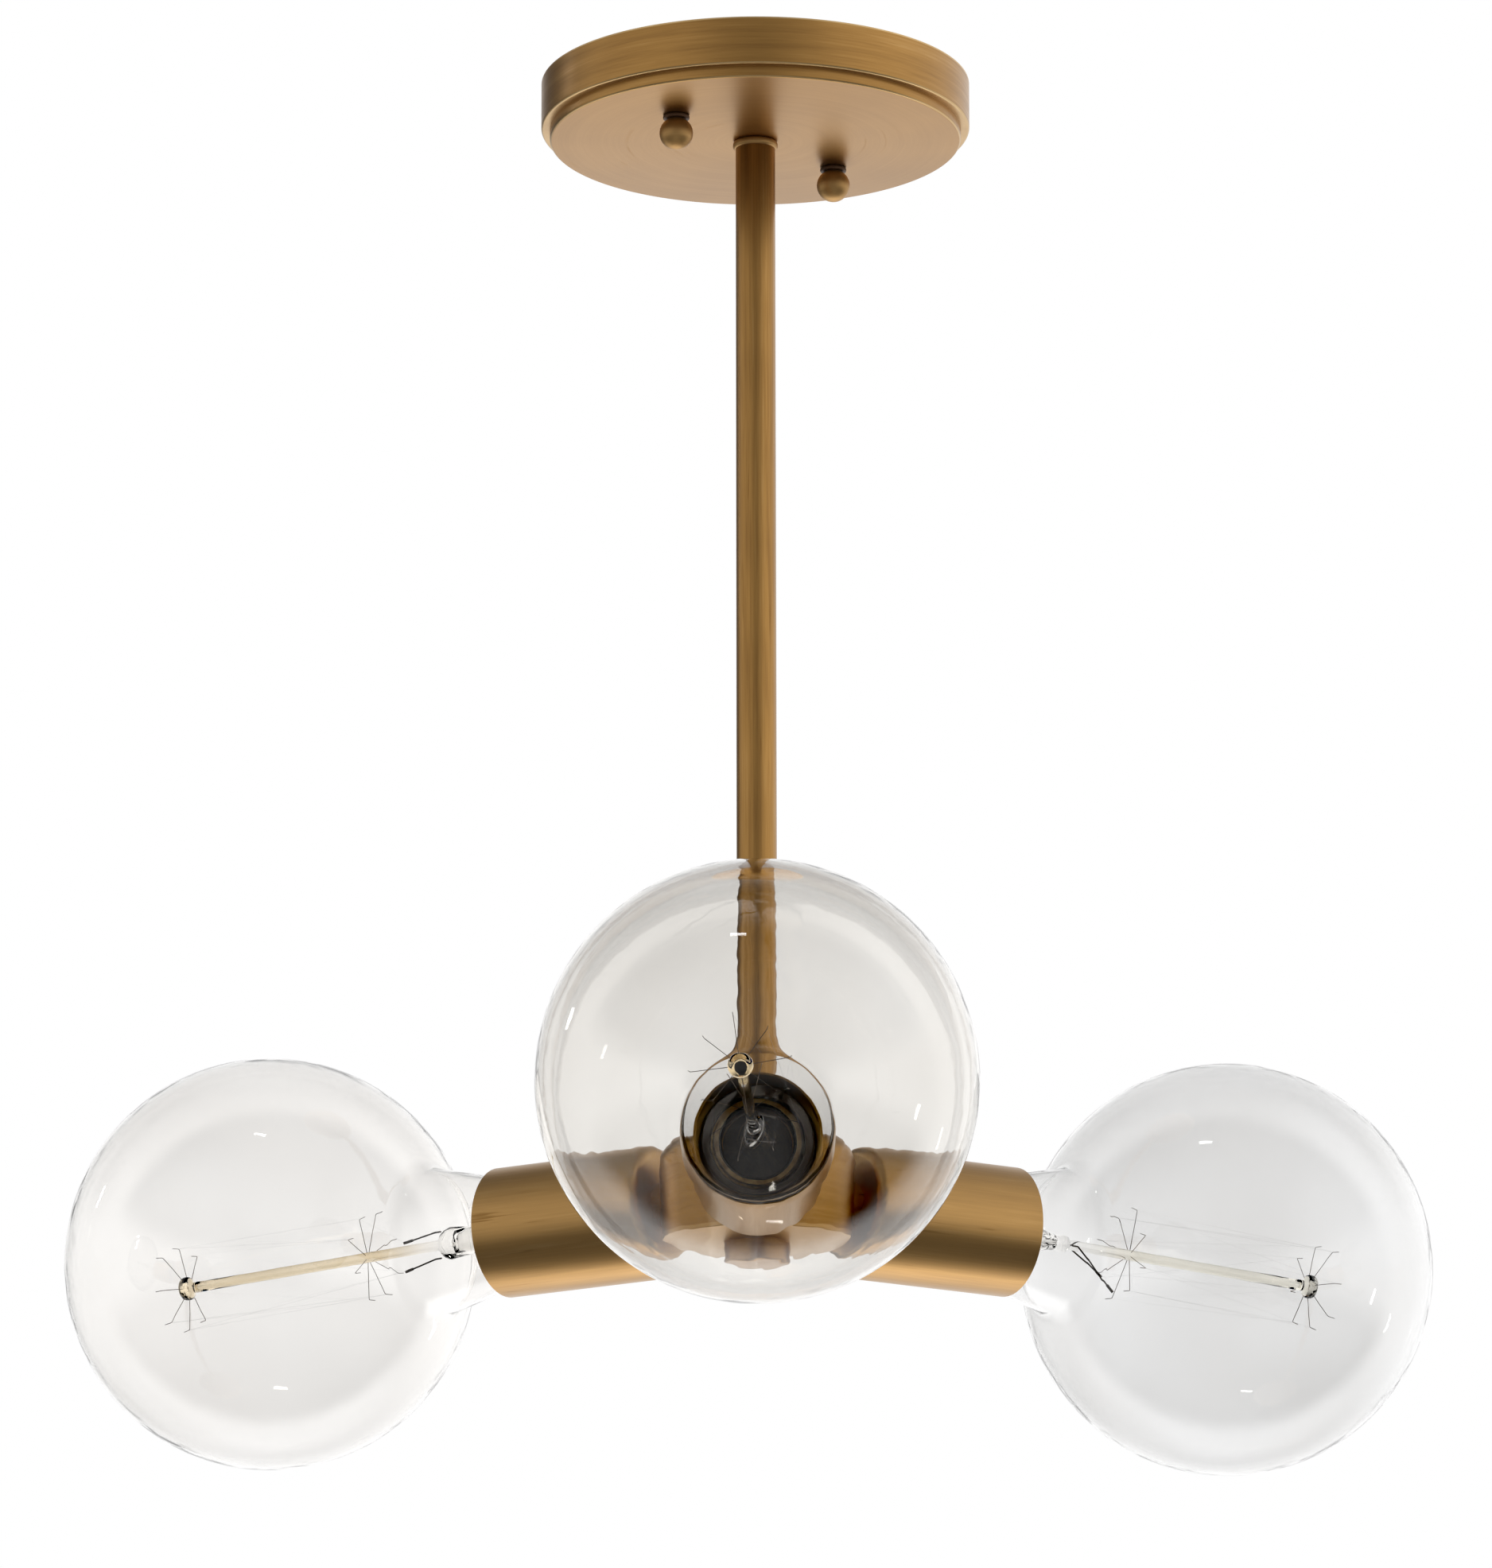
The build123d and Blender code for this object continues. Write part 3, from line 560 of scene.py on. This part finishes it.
def buildHubBottom():
    foot = hubHeight / mm + hub["foot"]
    top = foot + hub["wall"]
    rimOut, rimIn = hub["radius"] - hub["rimOut"], hub["radius"] - hub["rimIn"]
    cover = rounded([
        (hub["hole"], foot), (hub["radius"], foot, hub["edge"]), (hub["radius"], top),
        (rimOut, top), (rimOut, top + hub["rimHeight"]), (rimIn, top + hub["rimHeight"]), (rimIn, top),
        (hub["hole"], top),
    ], facets=4)
    mesh = turnedMesh("hubCover", cover, 128)
    addPiece("hubCover", mesh, "fixture", "coverGold", "antique_gold", "hub_cover")
    low, bore = foot - hub["capHeight"], foot - hub["capBore"]
    cap = rounded([
        (0.0, low), (hub["cap"], low, hub["capEdge"]), (hub["cap"], foot),
        (hub["hole"], foot), (hub["hole"], bore), (0.0, bore),
    ], closed=False)
    addPiece("hubCap", turnedMesh("hubCap", cap, 96), "fixture", "hubGold", "antique_gold", "hub_cap")


# Cups: drawn tubes with a round-edged back and a thin mouth
cup = {"back": 33.5, "mouth": 87.3, "radius": 19.5, "wall": 0.8, "round": 3.0, "lip": 0.2, "hole": 5.0}


def buildCups():
    inner, floor = cup["radius"] - cup["wall"], cup["back"] + cup["wall"]
    outline = rounded([
        (cup["hole"], cup["back"]), (cup["radius"], cup["back"], cup["round"]),
        (cup["radius"], cup["mouth"], cup["lip"]), (inner, cup["mouth"], cup["lip"]),
        (inner, floor, cup["round"] - cup["wall"]), (cup["hole"], floor),
    ])
    for name, azimuth in armAzimuths.items():
        mesh = turnedMesh(name + "Cup", outline, 128, armPlace(azimuth))
        addPiece(name + "Cup", mesh, "fixture", name + "CupGold", "antique_gold", name + "_cup")


# Rolled lamp thread: every ring of a sleeve is set off from its axis, and the offset turns once a pitch
thread = {
    "pitch": 3.629, "depth": 0.45, "steps": 24, "sheet": 0.5,
    "socketStart": 53.5, "socketEnd": 77.2, "socketRadius": 12.88, "socketHole": 7.5,
    "lampRadius": 12.6, "lampHole": 8.6, "footIn": 0.34,
    "collarOut": 12.9, "collarIn": 11.5, "collarLow": 0.25, "collarHigh": 1.6,
}


def threadTree():
    tree, start, given = newTree("rollThread", {
        "Pitch": 0.004, "Depth": 0.0005, "From": 0.0, "To": 1.0}, hasMesh=True)
    place = start.node("GeometryNodeInputPosition")
    height = place.axis("Z")
    phase = height * (2 * math.pi) / given["Pitch"]
    above = height.maths("GREATER_THAN", height, given["From"])
    reach = given["Depth"] * above * height.maths("LESS_THAN", height, given["To"])
    offset = start.node("ShaderNodeCombineXYZ", None, {
        0: reach * phase.maths("COSINE", phase), 1: reach * phase.maths("SINE", phase), 2: 0.0})
    moved = start.node("GeometryNodeSetPosition", None, {"Geometry": given["Mesh"], "Offset": offset})
    closeTree(tree, start, moved, given["Finish"])
    return tree


def threadedSleeve(name, azimuth, tree, outline, first, last, finish):
    seedMesh = turnedMesh(name, outline, 72)
    mesh = grownMesh(name, tree, {
        "Pitch": thread["pitch"] * mm, "Depth": thread["depth"] * mm,
        "From": (first - 0.01) * mm, "To": (last + 0.01) * mm, "Finish": finishes[finish]}, seedMesh)
    finishMesh(mesh, armPlace(azimuth), 50.0)
    return mesh


def climb(radius, first, last):
    count = round((last - first) / thread["pitch"] * thread["steps"])
    return [(radius, first + (last - first) * k / count) for k in range(count + 1)]


def buildSocketShells(tree):
    size = thread
    inner, outer = size["socketRadius"], size["socketRadius"] + size["sheet"]
    floor = size["socketStart"] - size["sheet"]
    for name, azimuth in armAzimuths.items():
        outline = [(size["socketHole"], floor), (outer, floor)]
        outline += climb(outer, size["socketStart"], size["socketEnd"])
        outline += climb(inner, size["socketStart"], size["socketEnd"])[::-1]
        outline += [(size["socketHole"], size["socketStart"])]
        mesh = threadedSleeve(
            name + "SocketShell", azimuth, tree, outline, floor, size["socketEnd"], "brass")
        addPiece(name + "SocketShell", mesh, "fixture", "brass", "brass", name + "_socket_shell")


# Lamps, measured outward from the globe's centre; the neck runs back into the cup.
# The lean is in degrees, down and aside.
lamp = {
    "seated": 164.5, "backedOff": {"front": 0.0, "right": 0.0, "left": 6.0}, "globe": 62.5, "wall": 0.9,
    "neckWide": (-50.0, 24.9), "neckNarrow": (-82.0, 16.9), "neckFoot": (-84.9, 11.4), "neckEnd": -93.0,
    "join": 7.0, "shoulder": 2.4, "foot": 0.8, "collarStart": -87.0, "shellStart": -106.0,
    "globeSteps": 72, "joinSteps": 12,
    "pivot": 87.0, "lean": {"front": (1.04, 0.23), "right": (2.2, 0.0), "left": (0.4, 0.0)},
}


# Half outline of the globe and its neck, from the front pole to the neck's end, drawn in by the inset
def glassOutline(inset):
    radius = lamp["globe"] - inset
    wide, narrow = Vector(lamp["neckWide"]), Vector(lamp["neckNarrow"])
    along = (narrow - wide).normalized()
    outward = Vector((along.y, -along.x))
    if outward.y < 0:
        outward = -outward
    start = wide - outward * inset
    join = lamp["join"] + inset
    # centre of the hollow round between globe and neck: join off the neck line, radius + join from the centre
    base = start + outward * join
    half = base.dot(along)
    reach = math.sqrt(half * half - base.length_squared + (radius + join) ** 2)
    middle = base + along * (-half + reach)
    touch = middle * (radius / (radius + join))
    stop = math.atan2(touch.y, touch.x)
    points = []
    for step in range(lamp["globeSteps"] + 1):
        angle = stop * step / lamp["globeSteps"]
        points.append((radius * math.sin(angle) if step else 0.0, radius * math.cos(angle)))
    first, last = touch - middle, -outward * join
    sweep = math.atan2(first.x * last.y - first.y * last.x, first.dot(last))
    for step in range(1, lamp["joinSteps"] + 1):
        turn = sweep * step / lamp["joinSteps"]
        x = first.x * math.cos(turn) - first.y * math.sin(turn)
        y = first.x * math.sin(turn) + first.y * math.cos(turn)
        points.append((middle.y + y, middle.x + x))
    foot = Vector(lamp["neckFoot"])
    lean = (foot - narrow).normalized()
    shoulder = Vector((lean.y, -lean.x))
    if shoulder.x > 0:
        shoulder = -shoulder
    # where the inset neck line, shoulder line and foot line meet
    corner = meeting(start, along, narrow - shoulder * inset, lean)
    low = meeting(narrow - shoulder * inset, lean, Vector((0, foot.y - inset)), Vector((1, 0)))
    tail = rounded([
        (points[-1][0], points[-1][1]),
        (corner.y, corner.x, max(lamp["shoulder"] - inset, 0.3)),
        (low.y, low.x, lamp["foot"] + inset * 0.5),
        (foot.y - inset, lamp["neckEnd"]),
    ], closed=False)
    return points + tail[1:]


def meeting(first, firstWay, second, secondWay):
    gap = second - first
    cross = firstWay.x * secondWay.y - firstWay.y * secondWay.x
    return first + firstWay * ((gap.x * secondWay.y - gap.y * secondWay.x) / cross)


def buildGlobes():
    outline = glassOutline(0.0) + glassOutline(lamp["wall"])[::-1]
    for name, azimuth in armAzimuths.items():
        centre = lamp["seated"] + lamp["backedOff"][name]
        place = leanPlace(azimuth, centre, lamp["pivot"], lamp["lean"][name])
        mesh = turnedMesh(name + "Globe", outline, 160, place)
        addPiece(name + "Globe", mesh, name + "_lamp", name + "GlobeGlass", "clear_glass", name + "_globe")


def buildLampBases(tree):
    size = thread
    outer, inner = size["lampRadius"], size["lampRadius"] - size["sheet"]
    for name, azimuth in armAzimuths.items():
        centre = lamp["seated"] + lamp["backedOff"][name]
        first, last = centre + lamp["shellStart"], centre + lamp["collarStart"]
        floor = first - size["sheet"]
        low, high = last + size["collarLow"], last + size["collarHigh"]
        outline = [(size["lampHole"], floor), (outer - size["footIn"], floor)] + climb(outer, first, last)
        outline += [(size["collarOut"], low), (size["collarOut"], high)]
        outline += [(size["collarIn"], high), (size["collarIn"], low)]
        outline += climb(inner, first, last)[::-1] + [(size["lampHole"], first)]
        mesh = threadedSleeve(name + "LampBase", azimuth, tree, outline, floor, last, "brass")
        addPiece(name + "LampBase", mesh, name + "_lamp", "brass", "brass", name + "_lamp_base")


# Glass mount: hollow flare, flattened press, solid rod and end button
mount = {
    "roll": {"front": 205.0, "right": 73.0, "left": 0.0},
    "pressEnd": {"front": 62.5, "right": 57.5, "left": 61.0},
    "pressRound": 3.5, "pressLong": 5.2, "pressFlat": 2.2, "pinchAt": 4.5, "pinchReach": 6.5,
    "rod": 1.6, "rodEnd": 31.7, "button": 3.6,
    "pivot": 92.0, "lean": {"front": (1.9, 2.4), "right": (2.6, 0.0), "left": (2.4, 0.0)},
}


def mountPlace(name, distance=0.0):
    centre = lamp["seated"] + lamp["backedOff"][name]
    place = leanPlace(armAzimuths[name], centre, mount["pivot"], mount["lean"][name])
    return place @ Matrix.Translation((0, 0, distance * mm))


def mountOutline(press):
    rod, rodEnd, button = mount["rod"], mount["rodEnd"], mount["button"]
    return [
        (0.0, press - 3.5), (2.4, press - 5.5), (3.0, press - 9.5), (4.6, -84.5), (9.2, -92.5), (10.2, -92.5),
        (10.2, -91.0), (5.6, -84.0), (4.1, press - 11.0), (3.6, press - 7.5), (3.5, press - 3.5),
        (3.4, press - 1.7), (2.9, press - 0.5), (2.0, press + 0.1),
        (rod, press + 0.9), (rod, -40.0), (rod, -10.0), (rod, 10.0),
        (rod, rodEnd - 4.2), (rod + 0.25, rodEnd - 3.6),
        (button - 0.7, rodEnd - 3.1), (button - 0.15, rodEnd - 2.7),
        (button, rodEnd - 2.1), (button, rodEnd - 1.3),
        (button - 0.2, rodEnd - 0.7), (button - 0.9, rodEnd - 0.15),
        (button - 1.8, rodEnd), (0.0, rodEnd),
    ]


def buildMounts():
    for name in armAzimuths:
        press = -mount["pressEnd"][name]

        # the press is pinched: wide across, thin through
        def pinch(point):
            amount = max(0.0, 1 - abs(point.z / mm - press + mount["pinchAt"]) / mount["pinchReach"])
            amount = amount * amount * (3 - 2 * amount)
            wide = 1 + (mount["pressLong"] / mount["pressRound"] - 1) * amount
            thin = 1 + (mount["pressFlat"] / mount["pressRound"] - 1) * amount
            return Vector((point.x * wide, point.y * thin, point.z))

        piece = name + "GlassMount"
        place = mountPlace(name) @ Matrix.Rotation(math.radians(-mount["roll"][name]), 4, "Z")
        mesh = turnedMesh(piece, mountOutline(press), 48, place, pinch, 60.0)
        addPiece(piece, mesh, name + "_lamp", name + "MountGlass", "clear_glass", name + "_glass_mount")


# Support hooks: stars of fine wire with bent ends, one near the press and one in the end button.
# Each star's numbers: place along the mount, way its hooks lean, radius of their feet, turn in degrees.
hooks = {
    "count": 8, "reach": 14.0, "short": 1.6, "wire": 0.1, "back": 1.4, "tip": 2.2, "footGap": 0.03,
    "stars": {"base": (-35.0, 1.0, 1.6, 11.0), "end": (29.7, -1.0, 3.6, 33.0)},
}


def hookTree():
    tree, start, given = newTree("hookStar", {
        "Hooks": 4, "Foot": 0.001, "Reach": 0.014, "Lean": 0.0014, "Tip": 0.0015,
        "Wire": 0.0001, "Turn": 0.0})
    spoke = start.node("GeometryNodeMeshLine", None, {"Count": 3})
    index = start.node("GeometryNodeInputIndex")
    foot = start.node("ShaderNodeCombineXYZ", None, {0: given["Foot"]})
    bend = start.node("ShaderNodeCombineXYZ", None, {0: given["Reach"], 2: given["Lean"] * -1.0})
    tipReach = given["Reach"] + 0.5 * mm
    end = start.node("ShaderNodeCombineXYZ", None, {0: tipReach, 2: given["Lean"] * -1.0 - given["Tip"]})
    first = index.maths("LESS_THAN", index, 0.5)
    third = index.maths("GREATER_THAN", index, 1.5)
    place = start.node("ShaderNodeMix", {"data_type": "VECTOR"}, {0: first, 4: bend, 5: foot}, 1)
    place = start.node("ShaderNodeMix", {"data_type": "VECTOR"}, {0: third, 4: place, 5: end}, 1)
    bent = start.node("GeometryNodeSetPosition", None, {"Geometry": spoke, "Position": place})
    path = start.node("GeometryNodeMeshToCurve", None, {"Mesh": bent})
    path = start.node("GeometryNodeFilletCurve", {"mode": "POLY"}, {
        "Curve": path, "Radius": 0.0005, "Count": 4})
    ring = start.node("GeometryNodeCurvePrimitiveCircle", None, {"Resolution": 6, "Radius": given["Wire"]})
    wire = start.node("GeometryNodeCurveToMesh", None, {
        "Curve": path, "Profile Curve": ring, "Fill Caps": True})
    points = start.node("GeometryNodePoints", None, {"Count": given["Hooks"]})
    number = start.node("GeometryNodeInputIndex")
    angle = number * (2 * math.pi) / given["Hooks"] + given["Turn"]
    turn = start.node("ShaderNodeCombineXYZ", None, {2: angle})
    star = start.node("GeometryNodeInstanceOnPoints", None, {
        "Points": points, "Instance": wire, "Rotation": turn})
    closeTree(tree, start, star, given["Finish"])
    return tree


def joined(name, meshes):
    build = bmesh.new()
    for mesh in meshes:
        build.from_mesh(mesh)
        bpy.data.meshes.remove(mesh)
    mesh = bpy.data.meshes.new(name)
    build.to_mesh(mesh)
    build.free()
    return mesh


def buildHooks(tree):
    for name in armAzimuths:
        stars = []
        for distance, lean, foot, turn in hooks["stars"].values():
            for half in (0, 1):
                star = grownMesh(name + "Star", tree, {
                    "Hooks": hooks["count"] // 2,
                    "Foot": (foot + hooks["footGap"]) * mm,
                    "Reach": (hooks["reach"] - hooks["short"] * half) * mm,
                    "Lean": hooks["back"] * lean * mm,
                    "Tip": hooks["tip"] * lean * mm,
                    "Wire": hooks["wire"] * mm,
                    "Turn": math.radians(turn + 360 / hooks["count"] * half - mount["roll"][name]),
                    "Finish": finishes["hookWire"],
                })
                star.transform(mountPlace(name, distance))
                stars.append(star)
        piece = name + "SupportHooks"
        mesh = joined(piece, stars)
        finishMesh(mesh, sharp=60.0)
        addPiece(piece, mesh, name + "_lamp", "hookWire", "lamp_wire", name + "_support_hooks")


# Filament: one fine strand to and fro between the two stars, from one lead's tip to the other.
# A lead's tip has its place up, aside and back from the globe's centre.
strand = {
    "radius": 0.014, "facets": 5, "gap": 0.01,
    "leads": {
        "front": ((-7.1, -6.6, 47.0), (0.7, -7.0, 51.0)),
        "right": ((-7.7, -2.0, 42.6), (-13.2, 4.0, 42.8)),
        "left": ((-6.0, 1.5, 47.5), (2.1, -1.5, 49.1)),
    },
}


def strandTree():
    tree, start, given = newTree("strand", {"Radius": 0.00002, "Facets": 5}, hasMesh=True)
    path = start.node("GeometryNodeMeshToCurve", None, {"Mesh": given["Mesh"]})
    ring = start.node("GeometryNodeCurvePrimitiveCircle", None, {
        "Resolution": given["Facets"], "Radius": given["Radius"]})
    wire = start.node("GeometryNodeCurveToMesh", None, {
        "Curve": path, "Profile Curve": ring, "Fill Caps": True})
    closeTree(tree, start, wire, given["Finish"])
    return tree


def strandPoints(name):
    clear = hooks["wire"] + strand["radius"] + strand["gap"]
    roll = math.radians(mount["roll"][name])
    first, last = [Vector((up, aside, -back)) for up, aside, back in strand["leads"][name]]
    points = [first]
    for index in range(hooks["count"]):
        reach = hooks["reach"] - hooks["short"] * (index % 2) + clear
        for star in ("end", "base"):
            distance, lean, _, turn = hooks["stars"][star]
            angle = math.radians(360 * index / hooks["count"] + turn) - roll
            height = distance - hooks["back"] * lean
            points.append(Vector((reach * math.cos(angle), reach * math.sin(angle), height)))
    return points + [last]


def buildFilaments(tree):
    for name in armAzimuths:
        points = [point * mm for point in strandPoints(name)]
        path = bpy.data.meshes.new(name + "Path")
        path.from_pydata(points, [(k, k + 1) for k in range(len(points) - 1)], [])
        mesh = grownMesh(name + "Filament", tree, {
            "Radius": strand["radius"] * mm, "Facets": strand["facets"],
            "Finish": finishes["tungsten"]}, path)
        finishMesh(mesh, mountPlace(name), 60.0)
        addPiece(name + "Filament", mesh, name + "_lamp", "tungsten", "lamp_wire", name + "_filament")


# CAD pieces that are shown as they are, with their finishes
kept = {
    "crossbar": "zincSteel", "crossbar_studs": "zincSteel", "ground_screw": "earthGreen",
    "canopy_nipple": "zincSteel", "canopy_lock_washer": "zincSteel", "hub_body": "hubGold",
    "hub_nipple": "zincSteel", "pipe_nuts": "zincSteel", "arm_nipples": "zincSteel", "arm_spacers": "hubGold",
    "ground_wire": "copper", "hot_wires": "blackWire", "neutral_wires": "whiteWire",
}
for armName in armAzimuths:
    kept[armName + "_socket_body"] = "blackPhenolic"
    kept[armName + "_socket_contact"] = "brass"
    kept[armName + "_base_insulator"] = "blackInsulator"
    kept[armName + "_base_contact"] = "solder"
    kept[armName + "_lead_wires"] = "leadWire"


def dressKept():
    for name, finish in kept.items():
        for slot in nodes[name].material_slots:
            slot.material = finishes[finish]


# Studio: pale floor far below, a soft panel, and three strips that show as dashes in the glass
studio = {
    "floor": -6.5, "floorRadius": 24.0,
    "stripSize": (0.30, 0.06), "stripDistance": 3.0, "stripPower": 0.6,
    "stripAbove": (-0.12, -0.40, 0.90), "stripLeft": (-0.81, 0.44, 0.39), "stripRight": (0.98, 0.03, -0.18),
    "panelSpot": (-1.9, -2.9, 0.9), "panelSize": 1.6, "panelPower": 45.0,
}

# The room that metal and glass mirror, as levels where 1 is white
room = {
    "fill": 0.72, "dark": 0.12, "wall": 0.26, "side": 0.34, "right": 0.32, "low": 0.30,
    "ceiling": 0.6, "shade": 0.88, "sweep": 1.3,
}


def addLamp(name, spot, aim, width, height, power):
    light = bpy.data.lights.new(name, "AREA")
    light.shape = "RECTANGLE"
    light.size, light.size_y = width, height
    light.energy = power
    holder = bpy.data.objects.new(name, light)
    holder.location = spot
    holder.rotation_euler = (aim - Vector(spot)).to_track_quat("-Z", "Y").to_euler()
    bpy.context.scene.collection.objects.link(holder)
    return holder


def buildStudio():
    world = bpy.data.worlds.new("studioSurroundings")
    bpy.context.scene.world = world
    world.use_nodes = True
    world.node_tree.nodes.clear()
    start = Signal(world.node_tree)
    way = start.node("ShaderNodeTexCoord", None, None, 0)
    across, depth, rise = way.axis("X"), way.axis("Y"), way.axis("Z")
    seen = start.node("ShaderNodeLightPath", None, None, "Is Camera Ray")
    through = start.node("ShaderNodeLightPath", None, None, "Is Transmission Ray")
    glossy = start.node("ShaderNodeLightPath", None, None, "Is Glossy Ray")
    bounces = start.node("ShaderNodeLightPath", None, None, "Glossy Depth")
    # a straight view through glass stays white, but what leaves the glass after a reflection still mirrors
    bounced = through * bounces.maths("GREATER_THAN", bounces, 0.5)
    # behind the light: white, less bright overhead, in shade to the left, and a bright sweep low down
    direct = 1 - bounced
    behind = depth.between(0.19, 0.48)
    shade = (across * -1.0).between(0.12, 0.50) * rise.between(-0.60, -0.25) * direct * room["shade"]
    back = (1 - rise.between(0.30, 0.90) * room["ceiling"]) * (1 - shade)
    sweep = depth.between(0.26, 0.52) * (rise * -1.0).between(0.48, 0.84) * across.between(-0.75, -0.10)
    # on the camera's side: dark underfoot and overhead, brighter to the sides and most of all to the right
    beside = across.maths("ABSOLUTE", across).between(0.10, 0.60)
    wall = room["wall"] + beside * room["side"] + across.between(0.45, 0.90) * room["right"]
    fade = rise.between(0.35, 0.90) * (0.7 - across.between(-0.30, 0.50) * 0.55)
    patch = (1 - beside) * (rise * -1.0).between(0.30, 0.60) * room["low"]
    front = room["dark"] + rise.between(-0.42, -0.12) * (1 - fade) * wall + patch
    mirrored = behind * back + (1 - behind) * front + sweep * direct * room["sweep"]
    white = seen + through - bounced
    mirror = glossy + bounced
    level = white + (1 - white) * (mirror * mirrored + (1 - mirror) * room["fill"])
    sky = start.node("ShaderNodeBackground", None, {"Color": colour(1, 1, 1), "Strength": level})
    start.node("ShaderNodeOutputWorld", None, {0: sky})

    away, size = studio["stripDistance"], studio["stripSize"]
    middle = Vector((0, 0, hubHeight))
    for name, wide, high in (("stripAbove", *size), ("stripLeft", *size[::-1]), ("stripRight", *size[::-1])):
        spot = middle + Vector(studio[name]).normalized() * away
        addLamp(name, spot, middle, wide, high, studio["stripPower"])
    side = studio["panelSize"]
    panel = addLamp("frontPanel", studio["panelSpot"], middle, side, side, studio["panelPower"])
    panel.visible_glossy = False
    panel.visible_transmission = False

    floor = turnedMesh("floor", [(0.0, 0.0), (studio["floorRadius"] / mm, 0.0)], 64)
    floor.transform(Matrix.Translation((0, 0, studio["floor"])))
    material, begin, place = newFinish("paleFloor")
    grain = place.scaled(3, 3, 3).noise(2.0, 0.5)
    surface(material, begin, {
        "Base Color": grain.blend(colour(0.86, 0.86, 0.86), colour(0.90, 0.90, 0.90)), "Roughness": 0.8})
    floor.materials.append(material)
    # metal and glass show the room instead of the floor
    holder = bpy.data.objects.new("floor", floor)
    bpy.context.scene.collection.objects.link(holder)
    holder.visible_glossy = False
    holder.visible_transmission = False


# Camera, at the photograph's viewpoint: below the hub and looking up. Its turns are in radians.
camera = {
    "spot": (-7.11 * mm, -2994.61 * mm, -1003.76 * mm), "yaw": 0.00131956, "pitch": 0.256145706,
    "roll": -0.00164106, "lens": 237.90,
}


def buildCamera():
    data = bpy.data.cameras.new("camera")
    data.sensor_width = 36.0
    data.lens = camera["lens"]
    data.clip_start, data.clip_end = 0.05, 60.0
    yaw, pitch, roll = camera["yaw"], camera["pitch"], camera["roll"]
    forward = Vector((math.sin(yaw) * math.cos(pitch), math.cos(yaw) * math.cos(pitch), math.sin(pitch)))
    right = forward.cross(Vector((0, 0, 1))).normalized()
    up = right.cross(forward)
    rolledRight = right * math.cos(roll) + up * math.sin(roll)
    rolledUp = up * math.cos(roll) - right * math.sin(roll)
    turned = Matrix((rolledRight, rolledUp, -forward)).transposed()
    holder = bpy.data.objects.new("camera", data)
    holder.matrix_world = Matrix.Translation(camera["spot"]) @ turned.to_4x4()
    bpy.context.scene.collection.objects.link(holder)
    bpy.context.scene.camera = holder


dressKept()
buildCanopy()
buildStem()
buildKnobs()
buildHubBottom()
buildCups()
print("metal built")
rollThread = threadTree()
buildSocketShells(rollThread)
buildLampBases(rollThread)
buildGlobes()
buildMounts()
buildHooks(hookTree())
buildFilaments(strandTree())
print("lamps built")
buildStudio()
buildCamera()
bpy.context.scene.view_settings.view_transform = "Standard"
print("studio built")
